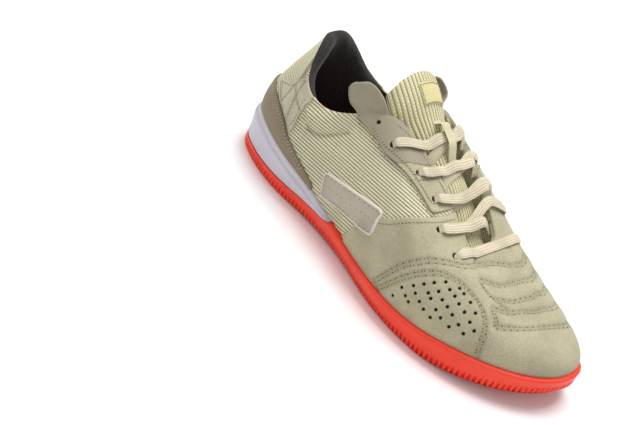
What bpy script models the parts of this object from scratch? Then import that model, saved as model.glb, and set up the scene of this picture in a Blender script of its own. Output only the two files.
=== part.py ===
"""Indoor soccer shoe, right foot: a cup sole in two rubbers under a knitted upper with suede and leather overlays.

The shoe stands empty on its sole.  +X points to the toe, -Y to the outer (lateral) side and +Z up.
Every shape of the upper comes from one function, upper_point, which runs over stations round the
foot (0 at the back of the heel, 0.5 at the toe) and over shares of the height of the wall
(0 at the sole, 1 at the collar or the throat).
"""
import math

import bpy
import numpy as np

# Driving sizes, metres
LENGTH = 0.288
BALL_WIDTH = 0.101
HEEL_HEIGHT = 0.095
SOLE_HEIGHT = 0.0307
TOE_SPRING = 0.0128
KNIT_WALL = 0.0018
SUEDE_WALL = 0.0012
FILM_WALL = 0.0008
INSOLE_THICKNESS = 0.0035
LEDGE_DROP = 0.0052
LEDGE_STEP = 0.0007
EYELET_DIAMETER = 0.0044
LACE_WIDTH = 0.0068
LACE_THICKNESS = 0.0014
LABEL_WALL = 0.0009
KEEPER_WIDTH = 0.0085
KEEPER_WALL = 0.0010
CLEARANCE = 0.0004
SOLE_CLEARANCE = 0.0003

# Smaller fixed sizes, metres, and the shading angle in degrees
SMOOTH_ANGLE = 38.0
EDGE_ROUND = 0.0012
TREAD_ROUND = 0.0014
INSOLE_MARGIN = 0.0010
TONGUE_PAD = 0.008
TAB_BOW = 0.0012
TAB_ROOM = 0.0014
LACE_LIFT = 0.0013
LACE_FLOAT = 0.0012
BAR_LIFT = 0.0003
KEEPER_FLOAT = 0.0003
UNDER_ROOM = 0.0013
CROSS_ROOM = 0.0015
KEEPER_POINTS = 13
EYELET_SIDES = 8
LACE_POINTS = 17
CROSS_FULL = 0.80
CROSS_NONE = 1.25
OVER_POINTS = 4
UNDER_POINTS = 3
TONGUE_ROWS = 17
TONGUE_COLUMNS = 9
TAB_COLUMNS = 5
# Share of LENGTH where the white wedge runs out, and the wedge's rings as shares of its own height
WEDGE_END = 0.40
WEDGE_FOOT_SHARE = 0.4
# Side of the sole from the floor up: share of its height, share of the tread's inset
SIDE_FLARE = ((0.00, 1.00), (0.35, 0.62), (0.65, 0.22), (0.85, 0.00), (1.00, 0.00))
SIDE_CROWN_FROM = 0.93
RUBBER_RINGS = (0.10, 0.36, 0.66, 0.86, 1.0)
# Edges of the tongue, its top hem, and the rounded edge of a flat band
TONGUE_EDGE_THIN = 0.72
TONGUE_HEM = 0.012
TONGUE_HEM_PAD = 0.45
BAND_FLAT = 0.72
BAND_BELLY = 0.1
LABEL_ROWS = 5
LABEL_COLUMNS = 6
# Widths of a strand where it enters its eyelet, as shares of LACE_WIDTH
NARROWED = (0.8, 0.55)

# Facets round the foot and up the wall
STATIONS = 80
WALL_LEVELS = (0.0, 0.10, 0.20, 0.32, 0.44, 0.56, 0.67, 0.77, 0.86, 0.94, 1.0)

# Plan of the sole's widest line: share of LENGTH, share of BALL_WIDTH; lateral side first
OUTLINE = (
    (0.000, -0.009),
    (0.020, -0.191),
    (0.085, -0.311),
    (0.200, -0.396),
    (0.330, -0.406),
    (0.450, -0.443),
    (0.570, -0.520),
    (0.690, -0.548),
    (0.800, -0.488),
    (0.900, -0.340),
    (0.970, -0.135),
    (1.000, 0.125),
    (0.978, 0.337),
    (0.900, 0.439),
    (0.790, 0.463),
    (0.680, 0.439),
    (0.570, 0.347),
    (0.450, 0.273),
    (0.330, 0.292),
    (0.200, 0.357),
    (0.085, 0.321),
    (0.020, 0.186),
)

# Along the sole: share of LENGTH, top of the wall and top of the orange rubber (shares of SOLE_HEIGHT),
# inset of the tread edge and of the upper's foot (shares of BALL_WIDTH)
SOLE_COLUMNS = ("x", "wall_top", "rubber_top", "tread_inset", "foot_inset")
SOLE = (
    (0.00, 0.998, 0.200, 0.013, 0.038),
    (0.10, 0.944, 0.245, 0.020, 0.038),
    (0.20, 0.865, 0.300, 0.038, 0.038),
    (0.30, 0.745, 0.390, 0.056, 0.038),
    (0.38, 0.580, 0.500, 0.060, 0.040),
    (0.50, 0.492, 0.800, 0.062, 0.042),
    (0.60, 0.494, 0.900, 0.058, 0.044),
    (0.70, 0.511, 0.900, 0.046, 0.046),
    (0.85, 0.646, 0.900, 0.020, 0.047),
    (1.00, 0.753, 0.900, 0.012, 0.047),
)

# Underside along the sole: share of LENGTH, rise as a share of TOE_SPRING; two flat stretches at 0
UNDERSIDE = (
    (0.000, 0.110),
    (0.045, 0.000),
    (0.240, 0.000),
    (0.330, 0.085),
    (0.450, 0.095),
    (0.600, 0.000),
    (0.760, 0.000),
    (0.850, 0.220),
    (0.940, 0.600),
    (1.000, 1.000),
)

# Rim of collar and throat, a row for each station: x of LENGTH, y of BALL_WIDTH, z of HEEL_HEIGHT;
# rise, reach and drop bend the wall (shares of its own height and reach), the two swells of BALL_WIDTH
RIM_COLUMNS = ("station", "x", "y", "z", "rise", "swell_low", "reach", "drop", "swell_high")
RIM = (
    (0.000, 0.075, 0.020, 1.002, 0.33, 0.028, 0.00, 0.35, 0.075),
    (0.035, 0.087, -0.060, 1.002, 0.33, 0.028, 0.00, 0.35, 0.070),
    (0.080, 0.113, -0.168, 0.926, 0.33, 0.030, 0.00, 0.35, 0.055),
    (0.150, 0.158, -0.278, 0.781, 0.33, 0.039, 0.00, 0.33, 0.035),
    (0.215, 0.228, -0.306, 0.740, 0.35, 0.040, 0.00, 0.33, 0.030),
    (0.270, 0.306, -0.262, 0.851, 0.40, 0.040, 0.20, 0.30, 0.030),
    (0.310, 0.382, -0.168, 0.967, 0.43, 0.040, 0.50, 0.24, 0.010),
    (0.345, 0.460, -0.100, 0.893, 0.43, 0.036, 0.61, 0.29, 0.000),
    (0.380, 0.540, -0.072, 0.796, 0.43, 0.032, 0.64, 0.40, 0.000),
    (0.415, 0.612, -0.085, 0.686, 0.48, 0.027, 0.64, 0.40, 0.000),
    (0.450, 0.661, -0.098, 0.600, 0.50, 0.027, 0.64, 0.40, 0.000),
    (0.485, 0.682, -0.045, 0.577, 0.54, 0.032, 0.64, 0.44, 0.000),
    (0.515, 0.683, 0.060, 0.586, 0.47, 0.024, 0.61, 0.44, 0.000),
    (0.550, 0.671, 0.160, 0.613, 0.45, 0.024, 0.61, 0.42, 0.000),
    (0.585, 0.612, 0.218, 0.700, 0.39, 0.019, 0.61, 0.40, 0.000),
    (0.620, 0.539, 0.250, 0.815, 0.34, 0.024, 0.61, 0.40, 0.000),
    (0.655, 0.459, 0.262, 0.905, 0.38, 0.031, 0.59, 0.27, 0.010),
    (0.690, 0.380, 0.280, 0.975, 0.42, 0.039, 0.49, 0.24, 0.020),
    (0.730, 0.310, 0.305, 0.835, 0.40, 0.040, 0.20, 0.30, 0.030),
    (0.785, 0.229, 0.329, 0.753, 0.35, 0.040, 0.00, 0.33, 0.030),
    (0.850, 0.156, 0.293, 0.791, 0.33, 0.039, 0.00, 0.33, 0.035),
    (0.920, 0.098, 0.225, 0.932, 0.33, 0.030, 0.00, 0.35, 0.055),
    (0.965, 0.077, 0.125, 1.006, 0.33, 0.028, 0.00, 0.35, 0.070),
)

# Edges of the overlays on the lateral side: station, level; the medial side mirrors them
FOOT_EDGE = ((0.0, 0.02), (0.5, 0.02))
VAMP_FIRST = 18
VAMP_TOP = (
    (0.2250, 0.09),
    (0.2500, 0.27),
    (0.2750, 0.39),
    (0.3000, 0.46),
    (0.3250, 0.57),
    (0.3500, 0.70),
    (0.3750, 0.83),
    (0.4000, 0.95),
    (0.4125, 1.00),
    (0.5000, 1.00),
)
COUNTER_LAST = 13
COUNTER_TOP = (
    (0.0000, 0.320),
    (0.0875, 0.310),
    (0.1000, 0.285),
    (0.1125, 0.225),
    (0.1250, 0.190),
    (0.1500, 0.120),
    (0.1625, 0.070),
)
PATCH_COLUMNS = {"eyestay": (22, 32), "ankle": (4, 10), "collar": (7, 15)}
FULL = ((0.0, 1.0), (0.5, 1.0))
EYESTAY_LOW = (
    (0.2750, 0.955),
    (0.2875, 0.870),
    (0.3000, 0.775),
    (0.3250, 0.745),
    (0.3500, 0.735),
    (0.3625, 0.785),
    (0.3750, 0.848),
    (0.4000, 0.968),
)
ANKLE_LOW = (
    (0.0500, 0.405),
    (0.0625, 0.390),
    (0.0750, 0.350),
    (0.0875, 0.330),
    (0.1000, 0.308),
    (0.1125, 0.280),
    (0.1250, 0.380),
)
ANKLE_TOP = (
    (0.0500, 0.450),
    (0.0625, 0.510),
    (0.0750, 0.570),
    (0.1000, 0.640),
    (0.1125, 0.670),
    (0.1250, 0.660),
)
COLLAR_LOW = (
    (0.0875, 0.650),
    (0.1000, 0.662),
    (0.1125, 0.690),
    (0.1250, 0.690),
    (0.1500, 0.700),
    (0.1750, 0.860),
    (0.1875, 0.940),
)
COLLAR_TOP = (
    (0.0875, 0.690),
    (0.1000, 0.770),
    (0.1250, 0.910),
    (0.1375, 0.985),
    (0.1500, 1.000),
    (0.2000, 1.000),
)
# A plain band with rounded ends low on the lateral side
FILM_COLUMNS = (13, 24)
FILM_LOW = (
    (0.1625, 0.170),
    (0.1750, 0.120),
    (0.2000, 0.110),
    (0.2250, 0.150),
    (0.2500, 0.290),
    (0.2750, 0.408),
    (0.3000, 0.480),
)
FILM_TOP = (
    (0.1625, 0.380),
    (0.1750, 0.440),
    (0.2000, 0.470),
    (0.2500, 0.520),
    (0.2750, 0.560),
    (0.2875, 0.565),
    (0.3000, 0.540),
)

# Eyelets from the unused top one down: station, level, on the lateral side
EYELETS = (
    (0.294, 0.945),
    (0.306, 0.850),
    (0.335, 0.835),
    (0.359, 0.830),
    (0.3625, 0.700),
    (0.386, 0.675),
)
# A row for each crossing from the top: stations of the throat's edge, as on the lateral side,
# that the outward strand comes from under and passes over, then those of the inward strand
STRANDS = (
    (0.369, 0.333, 0.362, 0.333),
    (0.391, 0.355, 0.384, 0.357),
    (0.400, 0.388, 0.407, 0.388),
    (0.450, 0.404, 0.452, 0.405),
)
UNDER_LEVEL = 0.975
OVER_LEVEL = 0.975

# Tongue, a row for each place from under the vamp to its top: x of LENGTH, middle of BALL_WIDTH,
# height of HEEL_HEIGHT, half width of BALL_WIDTH, crown of HEEL_HEIGHT, pad of TONGUE_PAD
TONGUE_TABLE = ("x", "middle", "height", "half_width", "crown", "pad")
TONGUE = (
    (0.705, 0.030, 0.488, 0.140, 0.030, 0.28),
    (0.660, 0.030, 0.550, 0.166, 0.060, 0.36),
    (0.604, 0.056, 0.672, 0.180, 0.106, 0.48),
    (0.535, 0.074, 0.802, 0.185, 0.134, 0.56),
    (0.465, 0.082, 0.918, 0.187, 0.152, 0.66),
    (0.410, 0.076, 1.028, 0.187, 0.140, 0.80),
    (0.368, 0.062, 1.126, 0.202, 0.105, 0.95),
    (0.340, 0.056, 1.188, 0.200, 0.095, 0.90),
    (0.332, 0.060, 1.202, 0.165, 0.060, 0.60),
)
LABEL_FROM = 0.392
LABEL_TO = 0.352
LABEL_LEFT = -0.30
LABEL_RIGHT = 0.55
KEEPER_FROM = 0.508
KEEPER_TO = 0.418
KEEPER_ACROSS = 0.05
KEEPER_FULL = 0.90
KEEPER_NONE = 1.50

# Free top of the eyestay, rows upwards from the rim: x, y, z of its heel edge and of its throat
# edge, as shares of LENGTH, BALL_WIDTH and HEEL_HEIGHT
TAB_STATIONS = (0.272, 0.306)
TAB = (
    (0.280, -0.252, 0.885, 0.347, -0.205, 1.050),
    (0.263, -0.248, 0.965, 0.312, -0.225, 1.085),
    (0.270, -0.244, 1.018, 0.293, -0.234, 1.066),
)
TAB_MEDIAL_Y = 0.140
TAB_MEDIAL_SHIFT = 0.010


def columns(table):
    """The columns of a table of rows as arrays."""
    return np.array(table, dtype=float).T


def closed_spline(knots, values, at):
    """Smooth closed curve through rows of values at rising knots, over a period of 1."""
    knots = np.asarray(knots, dtype=float)
    values = np.asarray(values, dtype=float)
    count = len(knots)
    steps = np.diff(np.append(knots, knots[0] + 1.0))
    following = np.roll(values, -1, axis=0)
    slopes = (following - values) / steps[:, None]
    matrix = np.zeros((count, count))
    right = np.zeros_like(values)
    for i in range(count):
        before = steps[i - 1]
        after = steps[i]
        matrix[i, (i - 1) % count] += after
        matrix[i, i] += 2.0 * (before + after)
        matrix[i, (i + 1) % count] += before
        right[i] = 3.0 * (after * slopes[i - 1] + before * slopes[i])
    tangents = np.linalg.solve(matrix, right)
    at = (np.asarray(at, dtype=float) - knots[0]) % 1.0 + knots[0]
    cell = np.clip(np.searchsorted(knots, at, side="right") - 1, 0, count - 1)
    u = ((at - knots[cell]) / steps[cell])[:, None]
    width = steps[cell][:, None]
    start = (2 * u**3 - 3 * u**2 + 1) * values[cell] + (u**3 - 2 * u**2 + u) * width * tangents[cell]
    end = (3 * u**2 - 2 * u**3) * following[cell] + (u**3 - u**2) * width * np.roll(tangents, -1, axis=0)[cell]
    return start + end


def smooth_table(keys, values, at):
    """Curve through a table that never overshoots its rows, so equal rows stay level."""
    keys = np.asarray(keys, dtype=float)
    values = np.asarray(values, dtype=float)
    at = np.clip(np.asarray(at, dtype=float), keys[0], keys[-1])
    steps = np.diff(keys)
    slopes = np.diff(values) / steps
    tangents = np.zeros(len(keys))
    tangents[0] = slopes[0]
    tangents[-1] = slopes[-1]
    for i in range(1, len(keys) - 1):
        if slopes[i - 1] * slopes[i] > 0:
            before = 2 * steps[i] + steps[i - 1]
            after = steps[i] + 2 * steps[i - 1]
            tangents[i] = (before + after) / (before / slopes[i - 1] + after / slopes[i])
    cell = np.clip(np.searchsorted(keys, at, side="right") - 1, 0, len(keys) - 2)
    u = (at - keys[cell]) / steps[cell]
    start = (2 * u**3 - 3 * u**2 + 1) * values[cell] + (u**3 - 2 * u**2 + u) * steps[cell] * tangents[cell]
    end = (3 * u**2 - 2 * u**3) * values[cell + 1] + (u**3 - u**2) * steps[cell] * tangents[cell + 1]
    return start + end


class Plan:
    """Closed plan curve of the sole by arc length, centred on the origin."""

    def __init__(self):
        rows = np.array(OUTLINE) * np.array([LENGTH, BALL_WIDTH])
        chords = np.linalg.norm(np.roll(rows, -1, axis=0) - rows, axis=1)
        self.knots = np.concatenate([[0.0], np.cumsum(chords)])[:-1] / chords.sum()
        self.rows = rows
        self.raw = np.linspace(0.0, 1.0, 2001)
        points = closed_spline(self.knots, rows, self.raw)
        lengths = np.linalg.norm(np.diff(points, axis=0), axis=1)
        self.arc = np.concatenate([[0.0], np.cumsum(lengths)]) / lengths.sum()
        self.shift = -0.5 * (points.min(axis=0) + points.max(axis=0))

    def point(self, station):
        """Points on the widest line of the sole."""
        return closed_spline(self.knots, self.rows, self.parameter(station)) + self.shift

    def parameter(self, station):
        """Curve parameter of a station."""
        return np.interp(np.asarray(station) % 1.0, self.arc, self.raw)

    def outward(self, station):
        """Unit directions out of the plan curve."""
        step = 1e-4
        along = self.point(np.asarray(station) + step) - self.point(np.asarray(station) - step)
        along /= np.linalg.norm(along, axis=1)[:, None]
        return np.stack([along[:, 1], -along[:, 0]], axis=1)


PLAN = Plan()


def length_share(points):
    """Share of the shoe's length, 0 at the heel, of plan points."""
    return (points[:, 0] - PLAN.shift[0]) / LENGTH


def sole_value(column, share):
    """A column of the SOLE table in metres, at shares of the length."""
    rows = columns(SOLE)
    unit = SOLE_HEIGHT if column in ("wall_top", "rubber_top") else BALL_WIDTH
    return smooth_table(rows[0], rows[SOLE_COLUMNS.index(column)], share) * unit


def underside(share):
    """Height of the tread over the floor."""
    rows = columns(UNDERSIDE)
    return smooth_table(rows[0], rows[1], share) * TOE_SPRING


def flat(station):
    """A station array and its original shape."""
    station = np.asarray(station, dtype=float)
    return station.ravel(), station.shape


def upper_point(station, level):
    """Outer face of the knitted upper: a cubic curve up each station from the sole to the rim."""
    station, shape = flat(station)
    level = np.asarray(level, dtype=float).ravel()[:, None]
    plan = PLAN.point(station)
    share = length_share(plan)
    outward = PLAN.outward(station)
    foot = plan - outward * sole_value("foot_inset", share)[:, None]
    foot = np.column_stack([foot, sole_value("wall_top", share) + SOLE_CLEARANCE])
    outward = np.column_stack([outward, np.zeros(len(outward))])
    table = np.array(RIM)
    row = closed_spline(table[:, 0], table[:, 1:], station)
    rim = row[:, 0:3] * np.array([LENGTH, BALL_WIDTH, HEEL_HEIGHT])
    rim[:, 0:2] += PLAN.shift
    shape_of = dict(zip(RIM_COLUMNS[1:], row.T[:, :, None]))
    height = (rim[:, 2] - foot[:, 2])[:, None]
    across = foot - rim
    across[:, 2] = 0.0
    up = np.array([0.0, 0.0, 1.0])
    low = foot + up * shape_of["rise"] * height + outward * shape_of["swell_low"] * BALL_WIDTH
    high = rim + across * shape_of["reach"] - up * shape_of["drop"] * height
    high += outward * shape_of["swell_high"] * BALL_WIDTH
    point = (1 - level)**3 * foot + 3 * (1 - level)**2 * level * low
    point += 3 * (1 - level) * level**2 * high + level**3 * rim
    return point.reshape(shape + (3,))


def upper_normal(station, level):
    """Unit normals out of the upper's outer face."""
    step = 1e-3
    station = np.asarray(station, dtype=float)
    level = np.asarray(level, dtype=float)
    along = upper_point(station + step, level) - upper_point(station - step, level)
    high = np.minimum(level + step, 1.0)
    low = np.maximum(level - step, 0.0)
    rising = upper_point(station, high) - upper_point(station, low)
    normal = np.cross(along, rising)
    return normal / np.linalg.norm(normal, axis=-1)[..., None]


def upper_row(station, level, lift):
    """Points lifted off the upper's outer face along its normal."""
    station, level = np.broadcast_arrays(np.asarray(station, dtype=float), np.asarray(level, dtype=float))
    return upper_point(station, level) + upper_normal(station, level) * lift


def signed_volume(points, faces):
    """Volume inside a closed mesh, negative when its faces point inwards."""
    total = 0.0
    for face in faces:
        first = points[face[0]]
        for a, b in zip(face[1:-1], face[2:]):
            total += np.dot(first, np.cross(points[a], points[b]))
    return total / 6.0


def add_solid(name, points, faces, material):
    """One closed mesh object whose faces point outwards."""
    points = np.asarray(points, dtype=float)
    if signed_volume(points, faces) < 0:
        faces = [face[::-1] for face in faces]
    mesh = bpy.data.meshes.new(name)
    mesh.from_pydata([tuple(point) for point in points], [], [tuple(face) for face in faces])
    mesh.update()
    mesh.shade_smooth()
    mesh.set_sharp_from_angle(angle=math.radians(SMOOTH_ANGLE))
    mesh.materials.append(material)
    solid = bpy.data.objects.new(name, mesh)
    bpy.context.scene.collection.objects.link(solid)
    return solid


def skin(name, outer, inner, faces, material):
    """A sheet with thickness: an outer and an inner face and a wall along each open edge."""
    count = len(outer)
    used = {}
    for face in faces:
        for a, b in zip(face, face[1:] + face[:1]):
            used[(a, b)] = True
    walls = []
    for a, b in used:
        if (b, a) not in used:
            walls.append((b, a, a + count, b + count))
    inside = [tuple(index + count for index in face[::-1]) for face in faces]
    return add_solid(name, np.vstack([outer, inner]), list(faces) + inside + walls, material)


def grid_faces(rows, cols, closed=False):
    """Faces of a grid of points numbered row by row."""
    faces = []
    for i in range(rows if closed else rows - 1):
        for j in range(cols - 1):
            k = (i + 1) % rows
            faces.append((i * cols + j, k * cols + j, k * cols + j + 1, i * cols + j + 1))
    return faces


def trimmed(first, last, low, high):
    """Stations, levels and faces of a patch of the upper between two curves of levels.

    The patch keeps the upper's own stations and levels, so its facets lie parallel to the
    upper's, and rows beyond a curve close up on it.
    """
    numbers = {}
    places = []
    table = []
    for column in range(first, last + 1):
        station = column / STATIONS
        bottom = low(station)
        top = high(station)
        rows = []
        for level in WALL_LEVELS:
            value = round(min(max(level, bottom), top), 5)
            key = (column, value)
            if key not in numbers:
                numbers[key] = len(places)
                places.append((station, value))
            rows.append(numbers[key])
        table.append(rows)
    faces = []
    for left, right in zip(table, table[1:]):
        for k in range(len(WALL_LEVELS) - 1):
            face = []
            for index in (left[k], right[k], right[k + 1], left[k + 1]):
                if index not in face:
                    face.append(index)
            if len(face) > 2:
                faces.append(tuple(face))
    places = np.array(places)
    return places[:, 0], places[:, 1], faces


def curve_of(table, mirrored=False):
    """A function of the station through rows of station and level, for either side of the foot."""
    rows = columns(table)

    def level(station):
        here = station % 1.0
        side = 1.0 - here if mirrored else here
        return float(np.interp(side, rows[0], rows[1]))

    return level


def both_sides(table):
    """A curve that is the same on the two sides of the foot."""
    rows = columns(table)

    def level(station):
        here = station % 1.0
        return float(np.interp(min(here, 1.0 - here), rows[0], rows[1]))

    return level


def overlay(name, first, last, low, high, wall, material):
    """A sheet laid over the knitted upper with a small clearance."""
    station, level, faces = trimmed(first, last, low, high)
    inner = upper_row(station, level, CLEARANCE)
    outer = upper_row(station, level, CLEARANCE + wall)
    return skin(name, outer, inner, faces, material)


def capped_rings(name, rings, material):
    """A solid of closed rings from bottom to top, its two ends spanned straight across.

    Each ring starts at the heel, and a point on the lateral side is spanned to the one that
    has the same place on the medial side.
    """
    rings = [np.asarray(ring) for ring in rings]
    count = len(rings[0])
    faces = []
    for level in range(len(rings) - 1):
        for i in range(count):
            k = (i + 1) % count
            faces.append((level * count + i, level * count + k,
                          (level + 1) * count + k, (level + 1) * count + i))
    top = (len(rings) - 1) * count
    i = 0
    while i + 1 < count - i:
        cross = []
        for index in (i, i + 1, count - i - 1, (count - i) % count):
            if index not in cross:
                cross.append(index)
        if len(cross) > 2:
            faces.append(tuple(top + index for index in cross))
            faces.append(tuple(index for index in cross[::-1]))
        i += 1
    return add_solid(name, np.vstack(rings), faces, material)


def side_inset(share, height):
    """How far the side of the sole lies inside its widest line, at a share of its height."""
    tread = sole_value("tread_inset", share)
    flare = np.interp(height, *columns(SIDE_FLARE))
    crown = np.interp(height, (SIDE_CROWN_FROM, 1.0), (0.0, 1.0)) * EDGE_ROUND
    return tread * flare + crown


def side_ring(stations, height, extra=0.0):
    """A ring on the side of the sole; height holds a value in metres for each station."""
    plan = PLAN.point(stations)
    share = length_share(plan)
    low = underside(share)
    full = sole_value("wall_top", share) - low
    inset = side_inset(share, (height - low) / full) + extra
    plan = plan - PLAN.outward(stations) * inset[:, None]
    return np.column_stack([plan, height])


def rubber_height(share):
    """Top of the orange rubber: a thin layer under the heel wedge, the whole wall further forward."""
    return np.minimum(sole_value("rubber_top", share), sole_value("wall_top", share))


def make_outsole(material):
    """The orange cup: tread, flared side wall and the deck that carries the upper."""
    stations = np.arange(STATIONS) / STATIONS
    share = length_share(PLAN.point(stations))
    low = underside(share)
    top = rubber_height(share)
    rings = [side_ring(stations, low, TREAD_ROUND)]
    for part_way in RUBBER_RINGS:
        rings.append(side_ring(stations, low + part_way * (top - low)))
    return capped_rings("outsole", rings, material)


def make_midsole(material):
    """The white wedge between the orange rubber and the heel, with a step round its top."""
    last = 0
    while length_share(PLAN.point([(last + 1) / STATIONS]))[0] < WEDGE_END:
        last += 1
    stations = np.concatenate([np.arange(last + 1), np.arange(-last, 0)]) / STATIONS
    share = length_share(PLAN.point(stations))
    bottom = rubber_height(share) + SOLE_CLEARANCE
    top = sole_value("wall_top", share)
    ledge = np.maximum(top - LEDGE_DROP, bottom + WEDGE_FOOT_SHARE * (top - bottom))
    lip = np.minimum(ledge + LEDGE_STEP, 0.5 * (ledge + top))
    rings = [
        side_ring(stations, bottom),
        side_ring(stations, 0.5 * (bottom + ledge)),
        side_ring(stations, ledge),
        side_ring(stations, lip, LEDGE_STEP),
        side_ring(stations, top, LEDGE_STEP),
    ]
    return capped_rings("midsole", rings, material)


def make_insole(material):
    """A flat footbed just inside the wall of the upper."""
    stations = np.arange(STATIONS) / STATIONS
    plan = PLAN.point(stations)
    share = length_share(plan)
    outward = PLAN.outward(stations)
    deck = sole_value("wall_top", share) + SOLE_CLEARANCE
    rings = []
    inset = sole_value("foot_inset", share) + KNIT_WALL + INSOLE_MARGIN
    for height in (deck, deck + INSOLE_THICKNESS):
        rings.append(np.column_stack([plan - outward * inset[:, None], height]))
    return capped_rings("insole", rings, material)


def make_upper(material):
    """The knitted upper: one hollow wall, open at the collar, the throat and underneath."""
    levels = np.array(WALL_LEVELS)
    station = np.repeat(np.arange(STATIONS) / STATIONS, len(levels))
    level = np.tile(levels, STATIONS)
    outer = upper_point(station, level)
    inner = upper_row(station, level, -KNIT_WALL)
    lowest = outer[:, 2].reshape(STATIONS, -1)[:, :1]
    inner[:, 2] = np.maximum(inner[:, 2].reshape(STATIONS, -1), lowest).ravel()
    return skin("upper", outer, inner, grid_faces(STATIONS, len(levels), closed=True), material)


def tongue_row(share):
    """Middle, height, half width, crown and pad of the tongue at shares of the length."""
    rows = dict(zip(TONGUE_TABLE, columns(TONGUE[::-1])))
    units = {"middle": BALL_WIDTH, "height": HEEL_HEIGHT, "half_width": BALL_WIDTH, "crown": HEEL_HEIGHT,
             "pad": TONGUE_PAD}
    return [smooth_table(rows["x"], rows[name], share) * unit for name, unit in units.items()]


def tongue_height(x, y):
    """Height of the tongue's upper face over a place in plan."""
    middle, height, half, crown, _ = tongue_row((x - PLAN.shift[0]) / LENGTH)
    across = (y - PLAN.shift[1] - middle) / half
    return height - crown * across**2


def tongue_normal(x, y):
    """Upward unit normal of the tongue's upper face over a place in plan."""
    step = 1e-4
    slope_x = (tongue_height(x + step, y) - tongue_height(x - step, y)) / (2 * step)
    slope_y = (tongue_height(x, y + step) - tongue_height(x, y - step)) / (2 * step)
    normal = np.array([-slope_x, -slope_y, 1.0])
    return normal / np.linalg.norm(normal)


def tongue_sheet(share, across):
    """Points of the tongue's upper face at shares of the length and of its half width."""
    middle, height, half, crown, _ = tongue_row(share)
    x = share * LENGTH + PLAN.shift[0]
    y = middle + across * half + PLAN.shift[1]
    return np.stack([x, y, height - crown * across**2], axis=-1)


def sheet_normals(points):
    """Unit normals of a grid of points, upwards."""
    normal = np.cross(np.gradient(points, axis=0), np.gradient(points, axis=1))
    normal /= np.linalg.norm(normal, axis=-1)[..., None]
    return normal * np.where(normal[..., 2:3] < 0, -1.0, 1.0)


def make_tongue(material):
    """The padded tongue, thin under the vamp and thick at its rounded top."""
    ends = (TONGUE[0][0], TONGUE[-1][0])
    share = np.linspace(ends[0], ends[1], TONGUE_ROWS)[:, None]
    across = np.sin(np.linspace(-0.5, 0.5, TONGUE_COLUMNS) * math.pi)[None, :]
    share, across = np.broadcast_arrays(share, across)
    top = tongue_sheet(share, across)
    normal = sheet_normals(top)
    pad = tongue_row(share)[4] * (1.0 - TONGUE_EDGE_THIN * across**4)
    fade = np.interp(share, (ends[1], ends[1] + TONGUE_HEM), (TONGUE_HEM_PAD, 1.0))
    under = top - normal * (pad * fade)[..., None]
    faces = grid_faces(TONGUE_ROWS, TONGUE_COLUMNS)
    return skin("tongue", top.reshape(-1, 3), under.reshape(-1, 3), faces, material)


def make_label(material):
    """The plain woven label sewn on the tongue."""
    share = np.linspace(LABEL_FROM, LABEL_TO, LABEL_ROWS)[:, None]
    across = np.linspace(LABEL_LEFT, LABEL_RIGHT, LABEL_COLUMNS)[None, :]
    share, across = np.broadcast_arrays(share, across)
    face = tongue_sheet(share, across)
    normal = sheet_normals(face)
    inner = face + normal * CLEARANCE
    outer = face + normal * (CLEARANCE + LABEL_WALL)
    faces = grid_faces(LABEL_ROWS, LABEL_COLUMNS)
    return skin("tongue_label", outer.reshape(-1, 3), inner.reshape(-1, 3), faces, material)


def make_tab(name, side, material):
    """The free top of an eyestay, which stands over the collar."""
    rows = []
    spread = np.linspace(0.0, 1.0, TAB_COLUMNS)[:, None]
    stations = TAB_STATIONS[0] + spread[:, 0] * (TAB_STATIONS[1] - TAB_STATIONS[0])
    stations = stations if side < 0 else 1.0 - stations
    level = np.ones(TAB_COLUMNS)
    rim = upper_point(stations, level)
    rising = rim - upper_point(stations, level - 0.02)
    rising /= np.linalg.norm(rising, axis=1)[:, None]
    lift = upper_normal(stations, level) * CLEARANCE
    rows.append(rim + rising * TAB_ROOM + lift)
    centre = TAB_MEDIAL_Y * BALL_WIDTH if side > 0 else 0.0
    for row in TAB:
        left = np.array(row[0:3])
        right = np.array(row[3:6])
        line = left + (right - left) * spread
        line = line * np.array([LENGTH, BALL_WIDTH, HEEL_HEIGHT])
        bow = np.sin(spread[:, 0] * math.pi) * TAB_BOW
        line[:, 1] = (line[:, 1] - bow) * -side + centre
        line[:, 0:2] += PLAN.shift
        if side > 0:
            line[:, 0] += TAB_MEDIAL_SHIFT * LENGTH
        rows.append(line)
    inner = np.array(rows)
    normal = np.cross(np.gradient(inner, axis=0), np.gradient(inner, axis=1))
    normal /= np.linalg.norm(normal, axis=-1)[..., None]
    normal *= np.where(normal[..., 1:2] * side < 0, -1.0, 1.0)
    outer = inner + normal * SUEDE_WALL
    faces = grid_faces(len(rows), TAB_COLUMNS)
    return skin(name, outer.reshape(-1, 3), inner.reshape(-1, 3), faces, material)


def strap(name, path, side, width, thickness, material):
    """A flat band along a path; side points across it, width may change along it."""
    path = np.asarray(path)
    side = np.asarray(side)
    along = np.gradient(path, axis=0)
    along /= np.linalg.norm(along, axis=1)[:, None]
    side = side - along * np.sum(side * along, axis=1)[:, None]
    side /= np.linalg.norm(side, axis=1)[:, None]
    lift = np.cross(side, along)
    lift *= np.where(lift[:, 2:3] < 0, -1.0, 1.0)
    across = side * (width * 0.5)[:, None] if np.ndim(width) else side * width * 0.5
    up = lift * thickness * 0.5
    flat_side = across * BAND_FLAT
    belly = up * BAND_BELLY
    corners = [flat_side - up, across - belly, flat_side + up]
    corners += [up - flat_side, -across - belly, -flat_side - up]
    count = len(path)
    points = np.array([path + corner for corner in corners]).transpose(1, 0, 2).reshape(-1, 3)
    faces = []
    for i in range(count - 1):
        for j in range(6):
            k = (j + 1) % 6
            faces.append((i * 6 + j, i * 6 + k, (i + 1) * 6 + k, (i + 1) * 6 + j))
    faces.append(tuple(range(5, -1, -1)))
    faces.append(tuple((count - 1) * 6 + j for j in range(6)))
    return add_solid(name, points, faces, material)


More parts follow.
